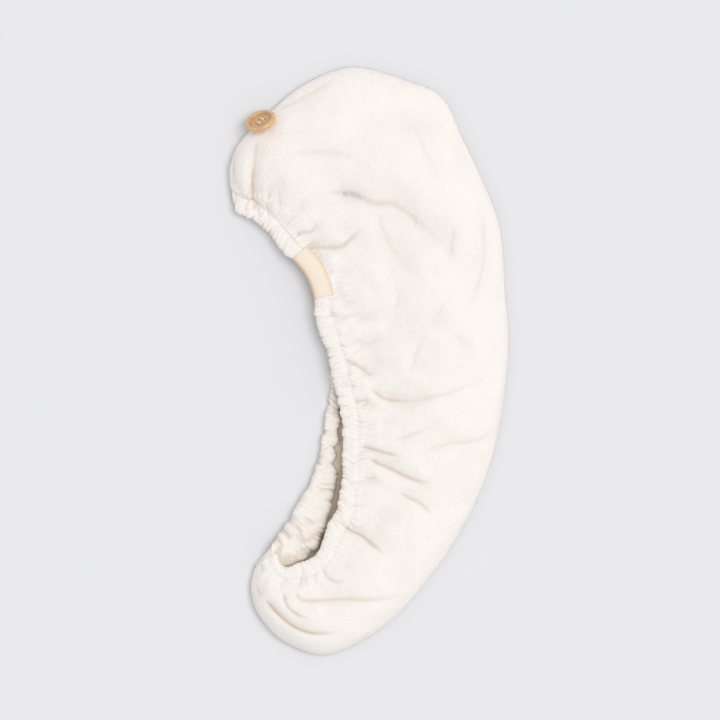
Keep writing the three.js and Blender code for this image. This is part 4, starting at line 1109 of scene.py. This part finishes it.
def wood_material():
    """Pale turned wood: long grain across the button, fine pores, a waxed, slightly glossy finish, and
    painted shade in the dish.
    """
    material, nodes, links, wood = new_material(
        "turned pale wood", {"Roughness": 0.36, "Coat Weight": 0.25, "Coat Roughness": 0.25})
    place = nodes.new("ShaderNodeTexCoord").outputs["Object"]
    turn = add_node(nodes, links, "ShaderNodeMapping", {
        "Rotation": (0.3, 0.5, 0.4), "Scale": (1.0, 7.0, 2.0), "Vector": place}).outputs["Vector"]
    grain = add_node(nodes, links, "ShaderNodeTexNoise", {
        "Scale": 110, "Detail": 5, "Distortion": 0.6, "Vector": turn}).outputs["Fac"]
    tones = ramped(nodes, links, grain, ((0.2, (0.58, 0.30, 0.115)), (0.8, (0.90, 0.58, 0.26))))
    pores = add_node(nodes, links, "ShaderNodeTexNoise", {"Scale": 900, "Detail": 2, "Vector": turn})
    dark_pores = mixed(nodes, links, 0.2, tones, pores.outputs["Fac"], "MULTIPLY")
    brighter = add_node(nodes, links, "ShaderNodeBrightContrast", {"Bright": 0.04, "Color": dark_pores})
    # Painted shade: the dish and the foot of its wall turn darker brown.
    dish = reckoned(nodes, links, "MULTIPLY", attribute_outputs(nodes, "dish")["Fac"], 0.6)
    painted_dish_shade = mixed(nodes, links, dish, brighter.outputs["Color"], (0.36, 0.19, 0.08, 1))
    links.new(painted_dish_shade, wood.inputs["Base Color"])
    roughen(nodes, links, wood, grain, 0.25, 0.0002)
    return material


def thread_material():
    return new_material("cream thread", {"Base Color": (0.86, 0.78, 0.68, 1), "Roughness": 0.8})[0]


def button_axis():
    return Vector((
        math.sin(BUTTON_TILT) * math.cos(BUTTON_HEADING),
        math.sin(BUTTON_TILT) * math.sin(BUTTON_HEADING),
        math.cos(BUTTON_TILT)))


def set_floor():
    bpy.ops.object.select_all(action="DESELECT")
    bpy.ops.mesh.primitive_plane_add(size=8, location=(0, 0, 0))
    floor = bpy.context.object
    floor.name = "pale_floor"
    paint = new_material("pale floor", {
        "Base Color": (0.765, 0.765, 0.783, 1), "Roughness": 1.0, "Specular IOR Level": 0.0})[0]
    floor.data.materials.append(paint)


def set_light():
    world = bpy.context.scene.world or bpy.data.worlds.new("world")
    bpy.context.scene.world = world
    world.use_nodes = True
    sky = world.node_tree.nodes["Background"]
    sky.inputs["Color"].default_value = (1, 1, 1, 1)
    sky.inputs["Strength"].default_value = 0.66
    sun = bpy.data.lights.new("key", "SUN")
    sun.energy = 1.36
    sun.angle = math.radians(34)
    lamp = bpy.data.objects.new("key", sun)
    bpy.context.scene.collection.objects.link(lamp)
    azimuth = math.radians(16)
    elevation = math.radians(73)
    level = math.cos(elevation)
    towards = Vector((math.cos(azimuth) * level, math.sin(azimuth) * level, math.sin(elevation)))
    lamp.rotation_euler = towards.to_track_quat("Z", "Y").to_euler()


def set_camera():
    data = bpy.data.cameras.new("camera")
    data.sensor_width = 36
    data.lens = 36 * CAMERA_HEIGHT / (720 * PIXEL)
    camera = bpy.data.objects.new("camera", data)
    camera.location = (-0.0076, 0.0004, CAMERA_HEIGHT)
    bpy.context.scene.collection.objects.link(camera)
    bpy.context.scene.camera = camera
    bpy.context.scene.view_settings.view_transform = "Standard"
    bpy.context.scene.view_settings.look = "None"


set_camera()
set_floor()
set_light()

plush = plush_material("cream plush", PLUSH_LIGHT, PLUSH_PAINTED_SHADE)
hem_plush = plush_material("gathered cream plush", PLUSH_LIGHT, PLUSH_PAINTED_SHADE)
lining = plush_material("cream plush inside", PLUSH_LIGHT, LINING_PAINTED_SHADE)

upper = make_upper_panel()
upper.data.materials.append(plush)
lower = make_lower_panel()
lower.data.materials.append(lining)
hem = make_hem()
hem.data.materials.append(hem_plush)
tab, tab_outside, tab_out = make_tab()
tab.data.materials.append(tab_material())
cream_thread = thread_material()
tab_stitches = make_tab_stitches(tab_outside, tab_out)
tab_stitches.data.materials.append(cream_thread)

axis = button_axis()
low_corner, high_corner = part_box("button")
button_place = (Vector(low_corner) + Vector(high_corner)) / 2 - axis * (BUTTON_THICKNESS / 2)
button_place += Vector((0.4, -1.3, 0)) * MM
button_turn = Vector((0, 0, 1)).rotation_difference(axis) @ Quaternion((0, 0, 1), BUTTON_SPIN)
button = make_button(button_place, button_turn)
button.data.materials.clear()
button.data.materials.append(wood_material())
stitching = make_button_thread(button_place, button_turn)
stitching.data.materials.append(cream_thread)

for piece, node, slot in (
    (upper, "upper_panel", "plush"),
    (lower, "lower_panel", "plush"),
    (hem, "mouth_hem", "hem_plush"),
    (tab, "woven_tab", "tab_weave"),
    (button, "button", "button_wood"),
    (stitching, "button_thread", "thread"),
):
    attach(piece, "root")
    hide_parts(node)

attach(tab_stitches, "root")
